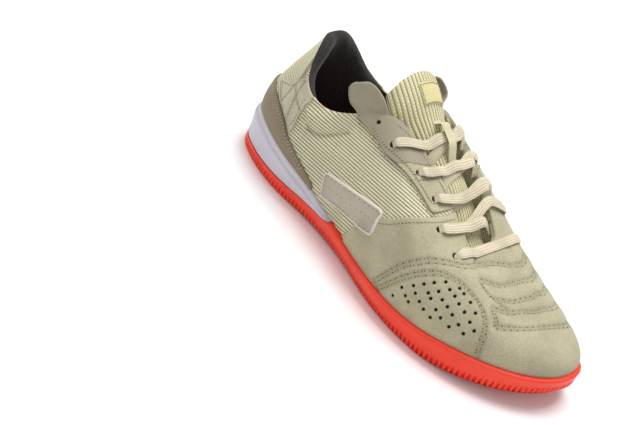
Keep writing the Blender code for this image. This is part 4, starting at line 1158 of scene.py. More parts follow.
@dataclass
class Seams:
    """Threads, and dark discs of painted shade in the needle holes, gathered from every panel and made as two
    meshes at the end.
    """

    threads: list[Array] = field(default_factory=list)
    holes: list[Array] = field(default_factory=list)
    zigzag_width: float = 0.0022

    def run(self, points: Array, normals: Array, stitch: Stitch, zigzag: bool = False) -> None:
        """Stitches along a line.

        Args:
            points: Even points along the line, over the surface.
            normals: Surface normals there.
            stitch: Sizes of the stitches.
            zigzag: Whether each thread slants the other way from the one before.
        """
        run = run_along(points)
        centres = np.arange(0.5 * stitch.pitch, run[-1], stitch.pitch)
        at = read_at(points, run, centres)
        up = unit(read_at(normals, run, centres))
        if zigzag:
            along = unit(np.gradient(at, axis=0))
            swing = self.zigzag_width * np.where(np.arange(len(at)) % 2, 0.5, -0.5)
            along = unit(along * stitch.pitch * 0.5 + np.cross(up, along) * swing[:, None])
        else:
            along = unit(read_at(points, run, centres + 0.0004) - read_at(points, run, centres - 0.0004))
        self.single(at, along, up, stitch)

    def single(self, at: Array, along: Array, up: Array, stitch: Stitch) -> None:
        """Stitches at given places, each a tube of six rings whose ends dip into needle holes, drawn as dark
        discs of painted shade.

        Args:
            at: Centres.
            along: Unit directions of the threads.
            up: Unit normals of the surface.
            stitch: Sizes of the stitches.
        """
        side = np.cross(up, along)
        place, swell, dip = np.array(THREAD_RINGS).T[:, :, None]
        angle = np.arange(6) * math.pi / 3
        along_part = (place * stitch.length)[..., None]
        side_part = (swell * np.cos(angle) * stitch.radius)[..., None]
        up_part = ((swell * np.sin(angle) * 0.8 + dip) * stitch.radius)[..., None]
        self.threads.append(at[:, None, None] + along[:, None, None] * along_part
                            + side[:, None, None] * side_part + up[:, None, None] * up_part)
        # A dark disc of painted shade at each end of a stitch
        for end in (-0.54, 0.54):
            self.punch(at + along * end * stitch.length + up * 0.00002, along, up, stitch.radius * 1.15)

    def punch(self, at: Array, along: Array, up: Array, radius: float) -> None:
        """Holes as dark discs of painted shade, each a fan of eight points about its centre.

        Args:
            at: Centres.
            along: Unit directions in the surface.
            up: Unit normals of the surface.
            radius: Half width of the holes.
        """
        turn = np.arange(8)[:, None] * math.pi / 4
        disc = along[:, None] * np.cos(turn) + np.cross(up, along)[:, None] * np.sin(turn)
        self.holes.append(np.concatenate([at[:, None] + disc * radius, at[:, None]], axis=1))

    def on_wall(self, path: Array, lift: Array | float, stitch: Stitch, zigzag: bool = False) -> None:
        """Stitches along stations and levels, at a height over the wall."""
        station, level = path.T
        self.run(FORM.lifted(station, level, lift), FORM.normal(station, level), stitch, zigzag)

    def build(self, shared: Shared) -> None:
        """Make the two meshes.

        Args:
            shared: Groups and materials.
        """
        i = np.arange(5)[:, None] * 6
        j = np.arange(6)[None, :]
        k = (j + 1) % 6
        tube = np.stack([i + j, i + 6 + j, i + 6 + k, i + k], axis=-1).reshape(-1, 4)
        fan = np.array([(8, 0, 1, 2), (8, 2, 3, 4), (8, 4, 5, 6), (8, 6, 7, 0)])
        for name, gathered, faces, points, finish in (("stitches", self.threads, tube, 36, THREAD),
                                                      ("hole_shade_discs", self.holes, fan, 9, HOLE_SHADE_DISCS)):
            joined = np.concatenate(gathered)
            quads = (faces[None] + (np.arange(len(joined)) * points)[:, None, None]).reshape(-1, 4)
            ridden(mesh_object(name, joined.reshape(-1, 3), quads, shared.use(finish)))


@dataclass
class Assembly:
    """A part of the shoe, with the materials and the seams that it adds to."""

    shared: Shared
    seams: Seams

    def add(self, name: str, surface: Array, finish: Finish, facing: Array, nodes: Sequence[str] = (),
            slot: str = "", **shape: object) -> bpy.types.Object:
        """Make a piece from a grid of points.

        Args:
            name: Name of the piece.
            surface: The grid.
            finish: Its finish.
            facing: Directions that its faces look along.
            nodes: CAD nodes that it stands for.
            slot: Material slot of the record; not used.
            **shape: Whether the grid wraps, and the fields on its points.

        Returns:
            The piece.
        """
        facing = np.broadcast_to(facing, surface.shape)
        return ridden(grid_object(name, surface, self.shared.use(finish), facing, **shape), nodes)


@dataclass
class Panel:
    """A sheet laid over the wall between two curves, with rounded edges.

    Its height over the wall rises at every border through a short rounded step; the sewn lines
    press soft troughs in it, and its holes are pits.
    """

    name: str
    ends: tuple[float, float]
    low: Curve
    high: Curve
    finish: SuedeFinish
    nodes: tuple[str, ...] = ()
    slot: str = ""
    thickness: float = 0.0013
    base: float = 0.0003
    columns: int = 160
    rows: int = 60
    open_low: bool = False
    open_high: bool = False
    lines: Sequence[tuple[Array, float, float]] = ()
    holes: Sequence[tuple[float, float, float]] = ()
    ends_round: bool = True

    def lift(self, station: Array, level: Array) -> tuple[Array, Array, Array]:
        """Height of the sheet's middle over the wall, away from its borders.

        Args:
            station: Stations.
            level: Levels.

        Returns:
            Heights, distances to the nearest sewn line and to the nearest hole's edge, in metres.
        """
        points = FORM.wall(station, level)
        lift = self.base + self.thickness - crease_depth(station, level)
        seam = np.full(station.shape, FAR)
        for path, depth, half in self.lines:
            gap = nearest_point(points, FORM.wall(path[::3, 0], path[::3, 1]), 3.2 * half)
            lift -= depth * np.exp(-(gap / half)**2)
            if half < 0.001:
                seam = np.minimum(seam, gap)
        hole = np.full(station.shape, FAR)
        for where, height, radius in self.holes:
            hole = np.minimum(hole, nearest_point(points, FORM.wall([where], [height]), 0.012) - radius)
        return lift - 0.0011 * smoothstep(0.00025, -0.00045, hole), seam, hole

    def build(self, assembly: Assembly) -> "Panel":
        """Make the sheet.

        Args:
            assembly: What it is added to.

        Returns:
            The panel itself.
        """
        first, last = sorted(self.ends)
        station = first + (last - first) * np.linspace(0.0, 1.0, self.columns)
        low, high = self.low(station), self.high(station)
        level = low[:, None] + (high - low)[:, None] * np.linspace(0.0, 1.0, self.rows)
        station = np.repeat(station[:, None], self.rows, axis=1)
        wide, tall = FORM.scale(station, level)
        gaps = [((level - level[:, :1]) * tall, not self.open_low),
                ((level[:, -1:] - level) * tall, not self.open_high),
                ((station - first) * wide, self.ends_round), ((last - station) * wide, self.ends_round)]
        kept = [gap for gap, is_border in gaps if is_border]
        edge = np.minimum.reduce(kept)
        lift, seam, hole = self.lift(station, level)
        lift = lift - 0.75 * self.thickness * (1.0 - rounded(edge / self.thickness))
        points = FORM.wall(station, level)
        normals = FORM.normal(station, level)
        surface = points + normals * lift[..., None]
        foot = points - normals * 0.0004
        tucked = surface - normals * 0.0006 - UP * 0.0014
        inward = surface - normals * (self.thickness + 0.0022)
        surface = np.concatenate([(tucked if self.open_low else foot)[:, :1], surface,
                                  (inward if self.open_high else foot)[:, -1:]], axis=1)
        normals = edge_padded(normals, 0, 1, 1)
        ends = int(self.ends_round)
        if ends:
            down = normals * (self.base + self.thickness * 0.9)
            surface = np.concatenate([surface[:1] - down[:1], surface, surface[-1:] - down[-1:]])
        fields = {key: edge_padded(values, ends, 1, 1)
                  for key, values in (("hole", hole), ("seam", seam), ("edge", edge))}
        assembly.add(self.name, surface, self.finish, edge_padded(normals, ends, 0, 0), self.nodes, self.slot,
                     fields=fields)
        return self

    def sew(self, seams: Seams, path: Array, stitch: Stitch) -> None:
        """Stitches on the pressed surface of the panel."""
        seams.on_wall(path, self.lift(path[:, 0], path[:, 1])[0] + 0.00006, stitch)


def crease_depth(station: Array, level: Array) -> Array:
    """Depth of the soft creases, each a trough along a short line.

    Args:
        station: Stations.
        level: Levels.

    Returns:
        Depths in metres.
    """
    total = np.zeros(np.shape(station))
    share = np.linspace(0.0, 1.0, 24)
    for s0, t0, s1, t1, half, depth in CREASES:
        line_station, line_level = s0 + (s1 - s0) * share, t0 + (t1 - t0) * share
        wide, tall = FORM.scale(line_station, line_level)
        gaps = [np.hypot((station - s) * w, (level - t) * h)
                for s, t, w, h in zip(line_station, line_level, wide, tall)]
        total += depth * np.exp(-(np.min(gaps, axis=0) / half)**2)
    return total


def rib_count(station: Array, level: Array, points: Array) -> Array:
    """Count of ribs across the knit: level lines on the sides, lines along the rim at the heel.

    Args:
        station: Stations.
        level: Levels.
        points: Points of the wall there.

    Returns:
        A count that grows by one from rib to rib.
    """
    side = (0.811 * points[..., 2] - 0.583 * np.abs(points[..., 1]) - 0.041 * points[..., 0]) / 0.00188
    heel = -np.linalg.norm(points - FORM.wall(station, np.ones_like(level)), axis=-1) / 0.0021
    weight = smoothstep(0.082, 0.112, np.minimum(station % 1.0, 1.0 - station % 1.0))
    return heel * (1 - weight) + side * weight


@dataclass
class Upper(Assembly):
    """The knitted wall with its ribs, and the dark lining inside it."""

    stations: int = 640
    levels: int = 149
    lining_stations: int = 300
    rib_height: float = 0.00055
    # Collar padding: depth under the rim, inward reach, both in metres
    padding: tuple[tuple[float, float], ...] = (
        (0.0000, -0.0001), (-0.0009, 0.0004), (-0.0016, 0.0016), (-0.0017, 0.0032), (-0.0008, 0.0046),
        (0.0012, 0.0056), (0.0045, 0.0063), (0.0090, 0.0066), (0.0150, 0.0060), (0.0210, 0.0048),
        (0.0270, 0.0034), (0.0330, 0.0024), (0.0400, 0.0020),
    )

    def build(self) -> None:
        """Make the knit, whose face rises and falls with its ribs, and its lining."""
        station, level = np.broadcast_arrays(np.arange(self.stations)[:, None] / self.stations,
                                             np.linspace(0.0, 1.0, self.levels))
        points = FORM.wall(station, level)
        normals = FORM.normal(station, level)
        across = rib_count(station, level, points)
        ridge = (0.5 + 0.5 * np.cos(across * 2 * math.pi))**RIB_POWER
        crease = crease_depth(station, level)
        surface = points + normals * (self.rib_height * (ridge - 0.75) - crease)[..., None]
        foot = surface[:, :1] - normals[:, :1] * 0.0015 - UP * 0.0015
        rolled = surface[:, -1:] - normals[:, -1:] * 0.0010 + UP * 0.0002
        inner = surface[:, -1:] - normals[:, -1:] * 0.0019 - UP * 0.0005
        surface = np.concatenate([foot, surface, rolled, inner], axis=1)
        # The field shade carries the crease depth, which the knit paints as shade
        fields = {key: edge_padded(values, 0, 1, 2)
                  for key, values in (("across", across), ("along", points[..., 0]), ("shade", crease))}
        self.add("knit_upper", surface, KNIT, edge_padded(normals, 0, 1, 2), ("upper",), "cream_knit",
                 wrap=True, fields=fields)
        self.lining()

    def lining(self) -> None:
        """Make the lining: a padded roll round the collar that thins out down the wall and forward."""
        count = self.lining_stations
        station = np.arange(count) / count
        near = np.minimum(station, 1.0 - station)
        padded = smoothstep(0.205, 0.150, near)
        rim = FORM.wall(station, np.ones(count))
        normal = FORM.normal(station, np.ones(count))
        rising = unit(rim - FORM.wall(station, np.full(count, 0.97)))
        _, tall = FORM.scale(station, np.full(count, 0.9))
        columns, facing = [], []
        for depth, reach in self.padding:
            fuller = 1.0 + 0.45 * smoothstep(0.11, 0.05, near) * (reach > 0.001)
            reach_here = reach * padded * fuller + min(reach, KNIT_WALL + 0.0001) * (1 - padded)
            depth_here = depth * padded + max(depth, 0.0002) * (1 - padded)
            if depth <= 0.0:
                columns.append(rim - rising * depth_here[:, None] - normal * reach_here[:, None])
                facing.append(rising)
            else:
                level = np.clip(1.0 - depth_here / tall, 0.0, 1.0)
                columns.append(FORM.lifted(station, level, -np.maximum(reach_here, KNIT_WALL + 0.0001)))
                facing.append(-FORM.normal(station, level))
        start = np.clip(1.0 - self.padding[-1][0] / tall, 0.15, 1.0)
        for share in np.linspace(0.0, 1.0, 16)[1:]:
            columns.append(FORM.lifted(station, start * (1 - share), -(KNIT_WALL + 0.0002)))
            facing.append(-FORM.normal(station, start * (1 - share)))
        piece = self.add("collar_lining", np.stack(columns, axis=1), LINING,
                         np.stack(facing, axis=1), wrap=True)
        smooth = piece.modifiers.new("smooth", "SUBSURF")
        smooth.levels = 1
        smooth.render_levels = 1


def side_ring(station: Array, height: Array, extra: float | Array = 0.0) -> Array:
    """A ring on the side of the sole, whose inset falls from the tread's to none and crowns at the top.

    Args:
        station: Stations.
        height: Height in metres for each station.
        extra: More metres inwards.

    Returns:
        Rows of points.
    """
    plan = FORM.plan(station)
    share = FORM.share(plan)
    low = FORM.underside(share)
    rise = (height - low) / (FORM.sole("wall_top", share) - low)
    flare = np.interp(rise, (0.0, 0.35, 0.65, 0.85, 1.0), (1.0, 0.62, 0.22, 0.0, 0.0))
    crown = np.interp(rise, (0.93, 1.0), (0.0, 1.0)) * 0.0012
    inset = FORM.sole("tread_inset", share) * flare + crown + extra
    return np.column_stack([plan - FORM.outward(station) * inset[:, None], height])


@dataclass
class Sole(Assembly):
    """Orange cup with its toothed edge and nubbed tread, white wedge and red footbed."""

    tooth_pitch: float = 0.0036
    tooth_depth: float = 0.0017
    tooth_height: float = 0.0055
    nub_height: float = 0.0011
    nub_row: float = 0.0032
    nub_pitch: float = 0.0046
    wedge_end: float = 0.40
    side_stations: int = 1840

    def build(self) -> None:
        """Make the four pieces."""
        self.side()
        self.tread()
        self.wedge()
        self.footbed()

    def rings(self, name: str, station: Array, rows: Sequence[tuple[Array, Array | float]], finish: Finish,
              node: str, slot: str, wrap: bool) -> None:
        """Make a piece from rings on the side of the sole.

        Args:
            name: Name of the piece.
            station: Stations of every ring.
            rows: Height and extra inset of each ring.
            finish: Its finish.
            node: CAD node that it stands for.
            slot: Material slot of the record.
            wrap: Whether it goes all round.
        """
        surface = np.stack([side_ring(station, height, extra) for height, extra in rows], axis=1)
        self.add(name, surface, finish, FORM.outward_rings(station, len(rows)), (node,), slot, wrap=wrap)

    def side(self) -> None:
        """Side of the cup: a smooth band over a row of teeth, and the deck's edge."""
        station = np.arange(self.side_stations) / self.side_stations
        share = FORM.share(FORM.plan(station))
        low = FORM.underside(share)
        top = np.minimum(FORM.sole("rubber_top", share), FORM.sole("wall_top", share))
        teeth = round(FORM.girth / self.tooth_pitch)
        tooth = smoothstep(-0.55, 0.35, np.cos(station * teeth * 2 * math.pi))
        rows = []
        for fixed in (*np.linspace(0.0, 0.0045, 8), 0.0056, 0.0068):
            base = np.minimum(low + fixed, low + 0.92 * (top - low))
            rise = np.clip(fixed / self.tooth_height, 0, 1)
            cut = (1 - tooth) * self.tooth_depth * smoothstep(1.0, 0.55, rise)
            bulge = 0.0005 * tooth * smoothstep(1.0, 0.4, rise)
            rows.append((base, cut - bulge + 0.0011 * smoothstep(0.0012, 0.0, fixed)))
        rows += [(base + part * (top - base), 0.0) for part in (0.12, 0.3, 0.5, 0.7, 0.85, 0.94)]
        rows += [(top - drop, extra)
                 for drop, extra in ((0.0002, 0.0004), (0.0, 0.0012), (0.0, 0.0060), (0.0010, 0.0120))]
        self.rings("cup_side", station, rows, RUBBER, "outsole", "orange_rubber", True)

    def tread(self) -> None:
        """Underside with its wavy rows of small nubs, each a bump of two crossed cosines."""
        half = np.linspace(0.001, 0.499, 380)
        across = np.linspace(0.0, 1.0, 120)
        first, second = [side_ring(s, FORM.underside(FORM.share(FORM.plan(s))) + 1e-5, 0.0008)
                         for s in (half, 1.0 - half)]
        surface = first[:, None] + (second - first)[:, None] * across[None, :, None]
        x, y = surface[..., 0], surface[..., 1]
        rows = (x + 0.0035 * np.sin(y / 0.0105) + 0.002 * np.sin(y / 0.031 + x / 0.04)) / self.nub_row
        along = np.cos(2 * math.pi * (y / self.nub_pitch + 0.5 * (np.floor(rows) % 2)))
        nub = smoothstep(-0.25, 0.55, np.cos(2 * math.pi * (rows - 0.5)) * 0.6 + along * 0.75)
        border = np.minimum(across, 1 - across)[None, :] * np.linalg.norm(second - first, axis=1)[:, None]
        height = self.nub_height * np.where(border < 0.0012, 0.0, 1.0 - nub)
        surface[..., 2] = FORM.underside(FORM.share(surface)) + height
        self.add("tread", surface, RUBBER, -UP, slot="orange_rubber")

    def wedge(self) -> None:
        """White wedge of the heel, with a ledge under its top."""
        fine = np.linspace(0.0, 0.5, 4001)
        last = fine[np.argmax(FORM.share(FORM.plan(fine)) >= self.wedge_end)]
        station = np.linspace(-last, last, 560)
        share = FORM.share(FORM.plan(station))
        bottom = np.minimum(FORM.sole("rubber_top", share), FORM.sole("wall_top", share)) + SOLE_CLEARANCE
        top = np.maximum(FORM.sole("wall_top", share), bottom + 0.0002)
        ledge = np.maximum(top - 0.0052, bottom + 0.4 * (top - bottom))
        lip = np.minimum(ledge + 0.0007, 0.5 * (ledge + top))
        rows = [(bottom, 0.0060), (bottom, 0.0010)]
        for low, high, steps in (
                (bottom, ledge, ((0.04, 0.0002), (0.12, 0.0), (0.25, 0.0), (0.4, 0.0), (0.55, 0.0),
                                 (0.7, 0.0), (0.82, 0.0), (0.92, 0.0))),
                (ledge, lip, ((0.0, 0.0001), (0.35, 0.0003), (0.7, 0.0008), (1.0, 0.0014))),
                (lip, top, ((0.15, 0.0017), (0.4, 0.0016), (0.7, 0.0012), (0.9, 0.0010), (1.0, 0.0016)))):
            rows += [(low + part * (high - low), extra) for part, extra in steps]
        rows.append((top + 0.0001, 0.0045))
        self.rings("heel_wedge", station, rows, FOAM, "midsole", "white_foam", False)

    def footbed(self) -> None:
        """Red footbed, dished towards its middle."""
        half = np.linspace(0.002, 0.498, 150)
        across = np.linspace(0.0, 1.0, 41)
        edges = []
        for station in (half, 1.0 - half):
            plan = FORM.plan(station)
            share = FORM.share(plan)
            inset = FORM.sole("foot_inset", share) + KNIT_WALL + 0.0010
            rise = FORM.sole("wall_top", share) + SOLE_CLEARANCE + 0.0036
            edges.append(np.column_stack([plan - FORM.outward(station) * inset[:, None], rise]))
        surface = edges[0][:, None] + (edges[1] - edges[0])[:, None] * across[None, :, None]
        surface[..., 2] += 0.0016 * (2 * across - 1)**4
        self.add("footbed", surface, INSOLE, UP, ("insole",), "insole_felt")


@dataclass
class Tongue(Assembly):
    """The padded tongue with its ribs, its gussets and its plain label."""

    rows: int = 190
    columns: int = 180
    rib_pitch: float = 0.0021
    ladder_pitch: float = 0.0017

    def build(self) -> None:
        """Make the tongue: its grid goes round from the upper face, by the sine of a turn, and back below."""
        top_end = TONGUE[0][0]
        share, turn = np.broadcast_arrays(np.linspace(top_end, TONGUE[-1][0], self.rows)[:, None],
                                          np.linspace(-math.pi, math.pi, self.columns))
        across = np.sin(turn)
        outer = across < 0
        share = share + np.where(outer, 0.007, 0.016) * np.abs(across)**3.0 * smoothstep(
            0.10, 0.0, share - top_end)
        spread = np.where(outer, 0.17, 0.10) * smoothstep(0.12, 0.03, share - top_end)
        top = FORM.tongue(share, across * (1.0 + spread))
        even = np.broadcast_to(np.linspace(-1, 1, self.columns), share.shape)
        normal = grid_normals(FORM.tongue(share, even))
        place = np.clip(((across + 1) * 0.5 * (self.columns - 1)).astype(int), 0, self.columns - 1)
        normal = flipped_to(normal[np.arange(self.rows)[:, None], place], UP)
        lower = np.cos(turn) < 0
        _, _, width, _, pad = FORM.tongue_row(share)
        pad = pad * (1.0 - 0.72 * across**4) * np.interp(share, (top_end, top_end + 0.012), (0.45, 1.0))
        depth = pad * np.where(lower, 1.0, 0.35 * smoothstep(0.80, 1.0, np.abs(across)))
        count = across * width / self.rib_pitch
        ridge = (0.5 + 0.5 * np.cos(count * 2 * math.pi))**RIB_POWER
        ladder = 0.5 + 0.5 * np.cos(share * LENGTH / self.ladder_pitch * 2 * math.pi)
        middle = smoothstep(0.62, 0.40, np.abs(across + 0.05)) * smoothstep(0.40, 0.37, share)
        lift = 0.0004 * (ridge - 0.7) * (1 - 0.5 * middle) + 0.0002 * (ladder - 0.5)
        lift = np.where(lower, 0.0, lift + self.pillow(share, across))
        surface = top + normal * (lift - depth)[..., None]
        first = surface[:1].mean(axis=1, keepdims=True)
        cap = first + (surface[:1] - first) * 0.55 - np.array([0.0006, 0.0, -0.0005])
        closed = np.broadcast_to(first - np.array([0.0008, 0.0, -0.0006]), surface[:1].shape)
        facing = np.where(lower[..., None], -normal, normal)
        fields = {key: np.concatenate([values[:1], values[:1], values])
                  for key, values in (("across", count), ("along", share * LENGTH))}
        piece = self.add("tongue_pad", np.concatenate([closed, cap, surface]), TONGUE_KNIT,
                         np.concatenate([facing[:1], facing[:1], facing]), ("tongue",), "cream_knit",
                         fields=fields)
        self.gusset()
        self.label()

    def pillow(self, share: Array, across: Array) -> Array:
        """Rise of the padding in metres, fullest at the top of the tongue."""
        full = smoothstep(0.13, 0.03, share - TONGUE[0][0])
        return 0.0005 * (1 - across**2) + 0.0034 * (1 - across**4) * full

    def gusset(self) -> None:
        """Thin knit that joins the tongue's edges to the inside of the throat, straight between them."""
        count, cells, ribs = 90, 16, 7.0
        spread = np.linspace(0.0, 1.0, cells)
        for side in Side:
            station = side.turned(np.linspace(0.325, 0.4995, count))
            outer = FORM.lifted(station, 0.955, -(KNIT_WALL + 0.0003))
            rim = FORM.wall(station, np.full(count, 0.985))
            share = np.clip(FORM.share(rim), TONGUE[0][0] + 0.02, TONGUE[-1][0])
            inner = FORM.tongue(share, np.full(count, 0.90 * side.value))
            inner[:, 2] -= 0.12 * FORM.tongue_row(share)[4]
            sheet = outer[:, None] * (1 - spread[:, None]) + inner[:, None] * spread[:, None]
            sheet[..., 2] -= 0.0012 * np.sin(spread * math.pi)
            fields = {"across": np.broadcast_to(spread * ribs, (count, cells)),
                      "along": np.broadcast_to(station[:, None] * FORM.girth, (count, cells))}
            self.add("gusset_" + side.word, sheet, TONGUE_KNIT, UP, slot="cream_knit", fields=fields)

    def label(self) -> None:
        """The plain woven label, with a stitched border."""
        rows, columns = 40, 60
        share, across = np.broadcast_arrays(np.linspace(0.392, 0.352, rows)[:, None],
                                            np.linspace(-0.30, 0.55, columns))
        face = FORM.tongue(share, across)
        normal = flipped_to(grid_normals(face), UP)
        i, j = np.indices((rows, columns))
        border = np.minimum(np.minimum(i, rows - 1 - i), np.minimum(j, columns - 1 - j)) / 3.0
        lift = 0.0001 + 0.0010 * np.sqrt(np.clip(border, 0, 1)) + 0.00012 * np.cos(i * 1.9)
        lift = lift + self.pillow(share, across)
        surface = face + normal * lift[..., None]
        self.add("plain_label", surface, LABEL, normal, ("tongue_label",), "woven_label")
        for row in (surface[3, 2:-2], surface[-4, 2:-2], surface[3:-3, 3], surface[3:-3, -4]):
            up = FORM.tongue_normal(row[:, 0], row[:, 1])
            self.seams.run(row + up * 0.0001, up, LABEL_STITCH)


def strand_path(start: float, over: float, side: Side, number: int) -> tuple[Array, Array]:
    """Path of a strand: from under one edge of the throat, over the tongue and to a hole.

    Args:
        start: Station under the edge.
        over: Station over the other edge.
        side: Side of the eyelet.
        number: Number of the eyelet.

    Returns:
        Points of the path, and the normals that the strand lies square to.
    """
    bed = KNIT_WALL + CLEARANCE + 0.5 * LACE_THICKNESS + 0.0013
    top = 2 * CLEARANCE + SUEDE_WALL + 0.5 * LACE_THICKNESS + 0.0013
    station, level = EYELETS[number]
    ride = np.linspace(0.0, 1.0, 4)
    over_stations = over + (side.turned(station) - over) * ride
    over_levels = EDGE_LEVEL + (level - EDGE_LEVEL) * ride
    over_path = FORM.lifted(over_stations, over_levels, top)
    edge_at = np.full(2, start), np.array([EDGE_LEVEL, 1.0])
    edge = FORM.lifted(*edge_at, -bed)
    middle = 0.5 * (edge[-1:] + over_path[:1])
    stops = np.vstack([edge, middle, over_path])
    leans = np.vstack([FORM.normal(*edge_at), FORM.tongue_normal(*middle[0, 0:2]),
                       FORM.normal(over_stations, over_levels)])
    reach = run_along(stops[:, 0:2])
    along = np.linspace(0.0, reach[-1], 17)
    x, y, z = [from_table(np.column_stack([reach, stops]), k, along) for k in (1, 2, 3)]
    floor = FORM.tongue_height(x, y) + CLEARANCE + 0.5 * LACE_THICKNESS + 0.0012
    z = np.where(along < reach[3], np.maximum(z, floor), z)
    return np.column_stack([x, y, z]), read_at(leans, reach, along)


def raised_over(path: Array, lower: tuple[Array, Array], full: float, none: float) -> Array:
    """A path lifted where it crosses a strand.

    Args:
        path: Points of the upper strand.
        lower: Path and normals of the lower one.
        full: Lace widths beside it up to which the lift is whole.
        none: Lace widths where the lift ends.

    Returns:
        The lifted path.
    """
    under, lean = [part[3:-4] for part in lower]
    gap = np.linalg.norm(path[:, None, 0:2] - under[None, :, 0:2], axis=2)
    close = np.argmin(gap, axis=1)
    aside = path[:, 0:2] - under[close, 0:2]
    nearest = under[close, 2] - np.sum(lean[close, 0:2] / lean[close, 2:3] * aside, axis=1)
    wanted = nearest + LACE_THICKNESS + CLEARANCE + 0.0015
    weight = np.clip((none - gap.min(axis=1) / LACE_WIDTH) / (none - full), 0.0, 1.0)
    lift = weight * np.maximum(wanted - path[:, 2], 0.0)
    return path + UP * lift[:, None]


@dataclass
class Laces(Assembly):
    """Flat woven laces: four crossings, a straight bar and the keeper tape."""

    round_points: int = 28
    fine: int = 110
    keeper_thickness: float = 0.0010

    def band(self, name: str, path: Array, lean: Array, node: str, dive: tuple[bool, bool] = (False, True),
             thickness: float = LACE_THICKNESS, finish: TapeFinish = LACE, slot: str = "flat_lace") -> None:
        """A soft flat band along a path: a squared oval with lengthwise ridges.

        Args:
            name: Name of the piece.
            path: Points of its middle.
            lean: Directions that it lies square to.
            node: CAD node that it stands for.
            dive: Whether the start and the end go down into an eyelet.
            thickness: Its thickness.
            finish: Its finish.
            slot: Material slot of the record.
        """
        at = np.linspace(0, len(path) - 1, self.fine)
        centre = even_spline(path, at)
        up = read_at(lean, np.arange(len(path)), at)
        for _ in range(14):
            centre[2:-2] = np.array([np.convolve(line, SOFTENING, "valid") for line in centre.T]).T
        along = unit(np.gradient(centre, axis=0))
        side = unit(np.cross(up, along))
        up = np.cross(along, side)
        share = np.linspace(0.0, 1.0, self.fine)
        wide = LACE_WIDTH * (1.0 + 0.03 * np.sin(share * 9.0 + path[0, 0] * 400))
        sink = np.zeros(self.fine)
        for is_down, place in zip(dive, (share, 1.0 - share)):
            wide *= 1.0 - 0.42 * smoothstep(0.075, 0.0, place) * is_down
            sink += 0.0028 * smoothstep(0.045, 0.0, place) * is_down
        angle = np.linspace(0.0, 2 * math.pi, self.round_points, endpoint=False)[:, None]
        flat = power_of_wave(angle, 0.75)
        tall = power_of_wave(angle - math.pi / 2, 0.55)
        ribs = 1.0 + 0.16 * np.cos(flat * 4 * math.pi) * np.abs(np.sin(angle))
        rise = (tall * ribs - 0.10 * flat**2) * 0.44 * thickness - sink
        surface = centre + side * (flat * 0.5 * wide)[..., None] + up * rise[..., None]
        fields = {"along": np.broadcast_to(run_along(centre), rise.shape),
                  "side": np.broadcast_to((flat + 1) * 0.5, rise.shape)}
        self.add(name, surface, finish, surface - centre, (node,), slot, wrap=True, fields=fields)

    def build(self) -> None:
        """Make every strand, the bar and the keeper; the outward strands run over the inward ones."""
        crossed = []
        for number, (out_from, out_over, in_from, in_over) in enumerate(STRANDS, 1):
            low = strand_path(in_from, 1.0 - in_over, Side.MEDIAL, number)
            path, lean = strand_path(1.0 - out_from, out_over, Side.LATERAL, number)
            high = raised_over(path, low, 0.80, 1.25), lean
            crossed.append((low, high))
            for word, node, strand in (("in", "inward", low), ("out", "outward", high)):
                self.band("lace_%s_%d" % (word, number), *strand, "lace_%s_%d" % (node, number))
        self.bar()
        self.keeper(crossed[0])

    def bar(self) -> None:
        """The straight bar at the bottom of the throat, by the levels whose x lies on a straight line."""
        top = 2 * CLEARANCE + SUEDE_WALL + 0.5 * LACE_THICKNESS + 0.0003
        first, level = EYELETS[5]
        ends = FORM.lifted(np.array([first, 1.0 - first]), level, top)
        share = np.linspace(0.0, 1.0, 17)
        station = first + (1.0 - 2 * first) * share
        reached = ends[0, 0] + (ends[1, 0] - ends[0, 0]) * share
        levels = np.linspace(0.5, 1.0, 201)
        x = FORM.wall(*np.broadcast_arrays(station[:, None], levels))[..., 0]
        found = levels[np.argmin(np.abs(x - reached[:, None]), axis=1)]
        self.band("lace_bottom_bar", FORM.lifted(station, found, top), FORM.normal(station, found),
                  "lace_bar", (True, True))

    def keeper(self, crossing: Sequence[tuple[Array, Array]]) -> None:
        """The tape on the tongue that the top crossing runs under.

        Args:
            crossing: Paths and normals of the two strands.
        """
        share = np.linspace(0.508, 0.418, 13)
        path = FORM.tongue(share, np.full(13, 0.05)) + UP * (CLEARANCE + 0.0008)
        for below in crossing:
            path = raised_over(path, below, 0.90, 1.50)
        lean = FORM.tongue_normal(path[:, 0], path[:, 1])
        across = np.broadcast_to([0.0, 1.0, 0.0], path.shape)
        up = unit(flipped_to(np.cross(across, np.gradient(path, axis=0)), lean))
        self.band("keeper_tape", path, up, "lace_keeper", (False, False), self.keeper_thickness, KEEPER,
                  "keeper_knit")


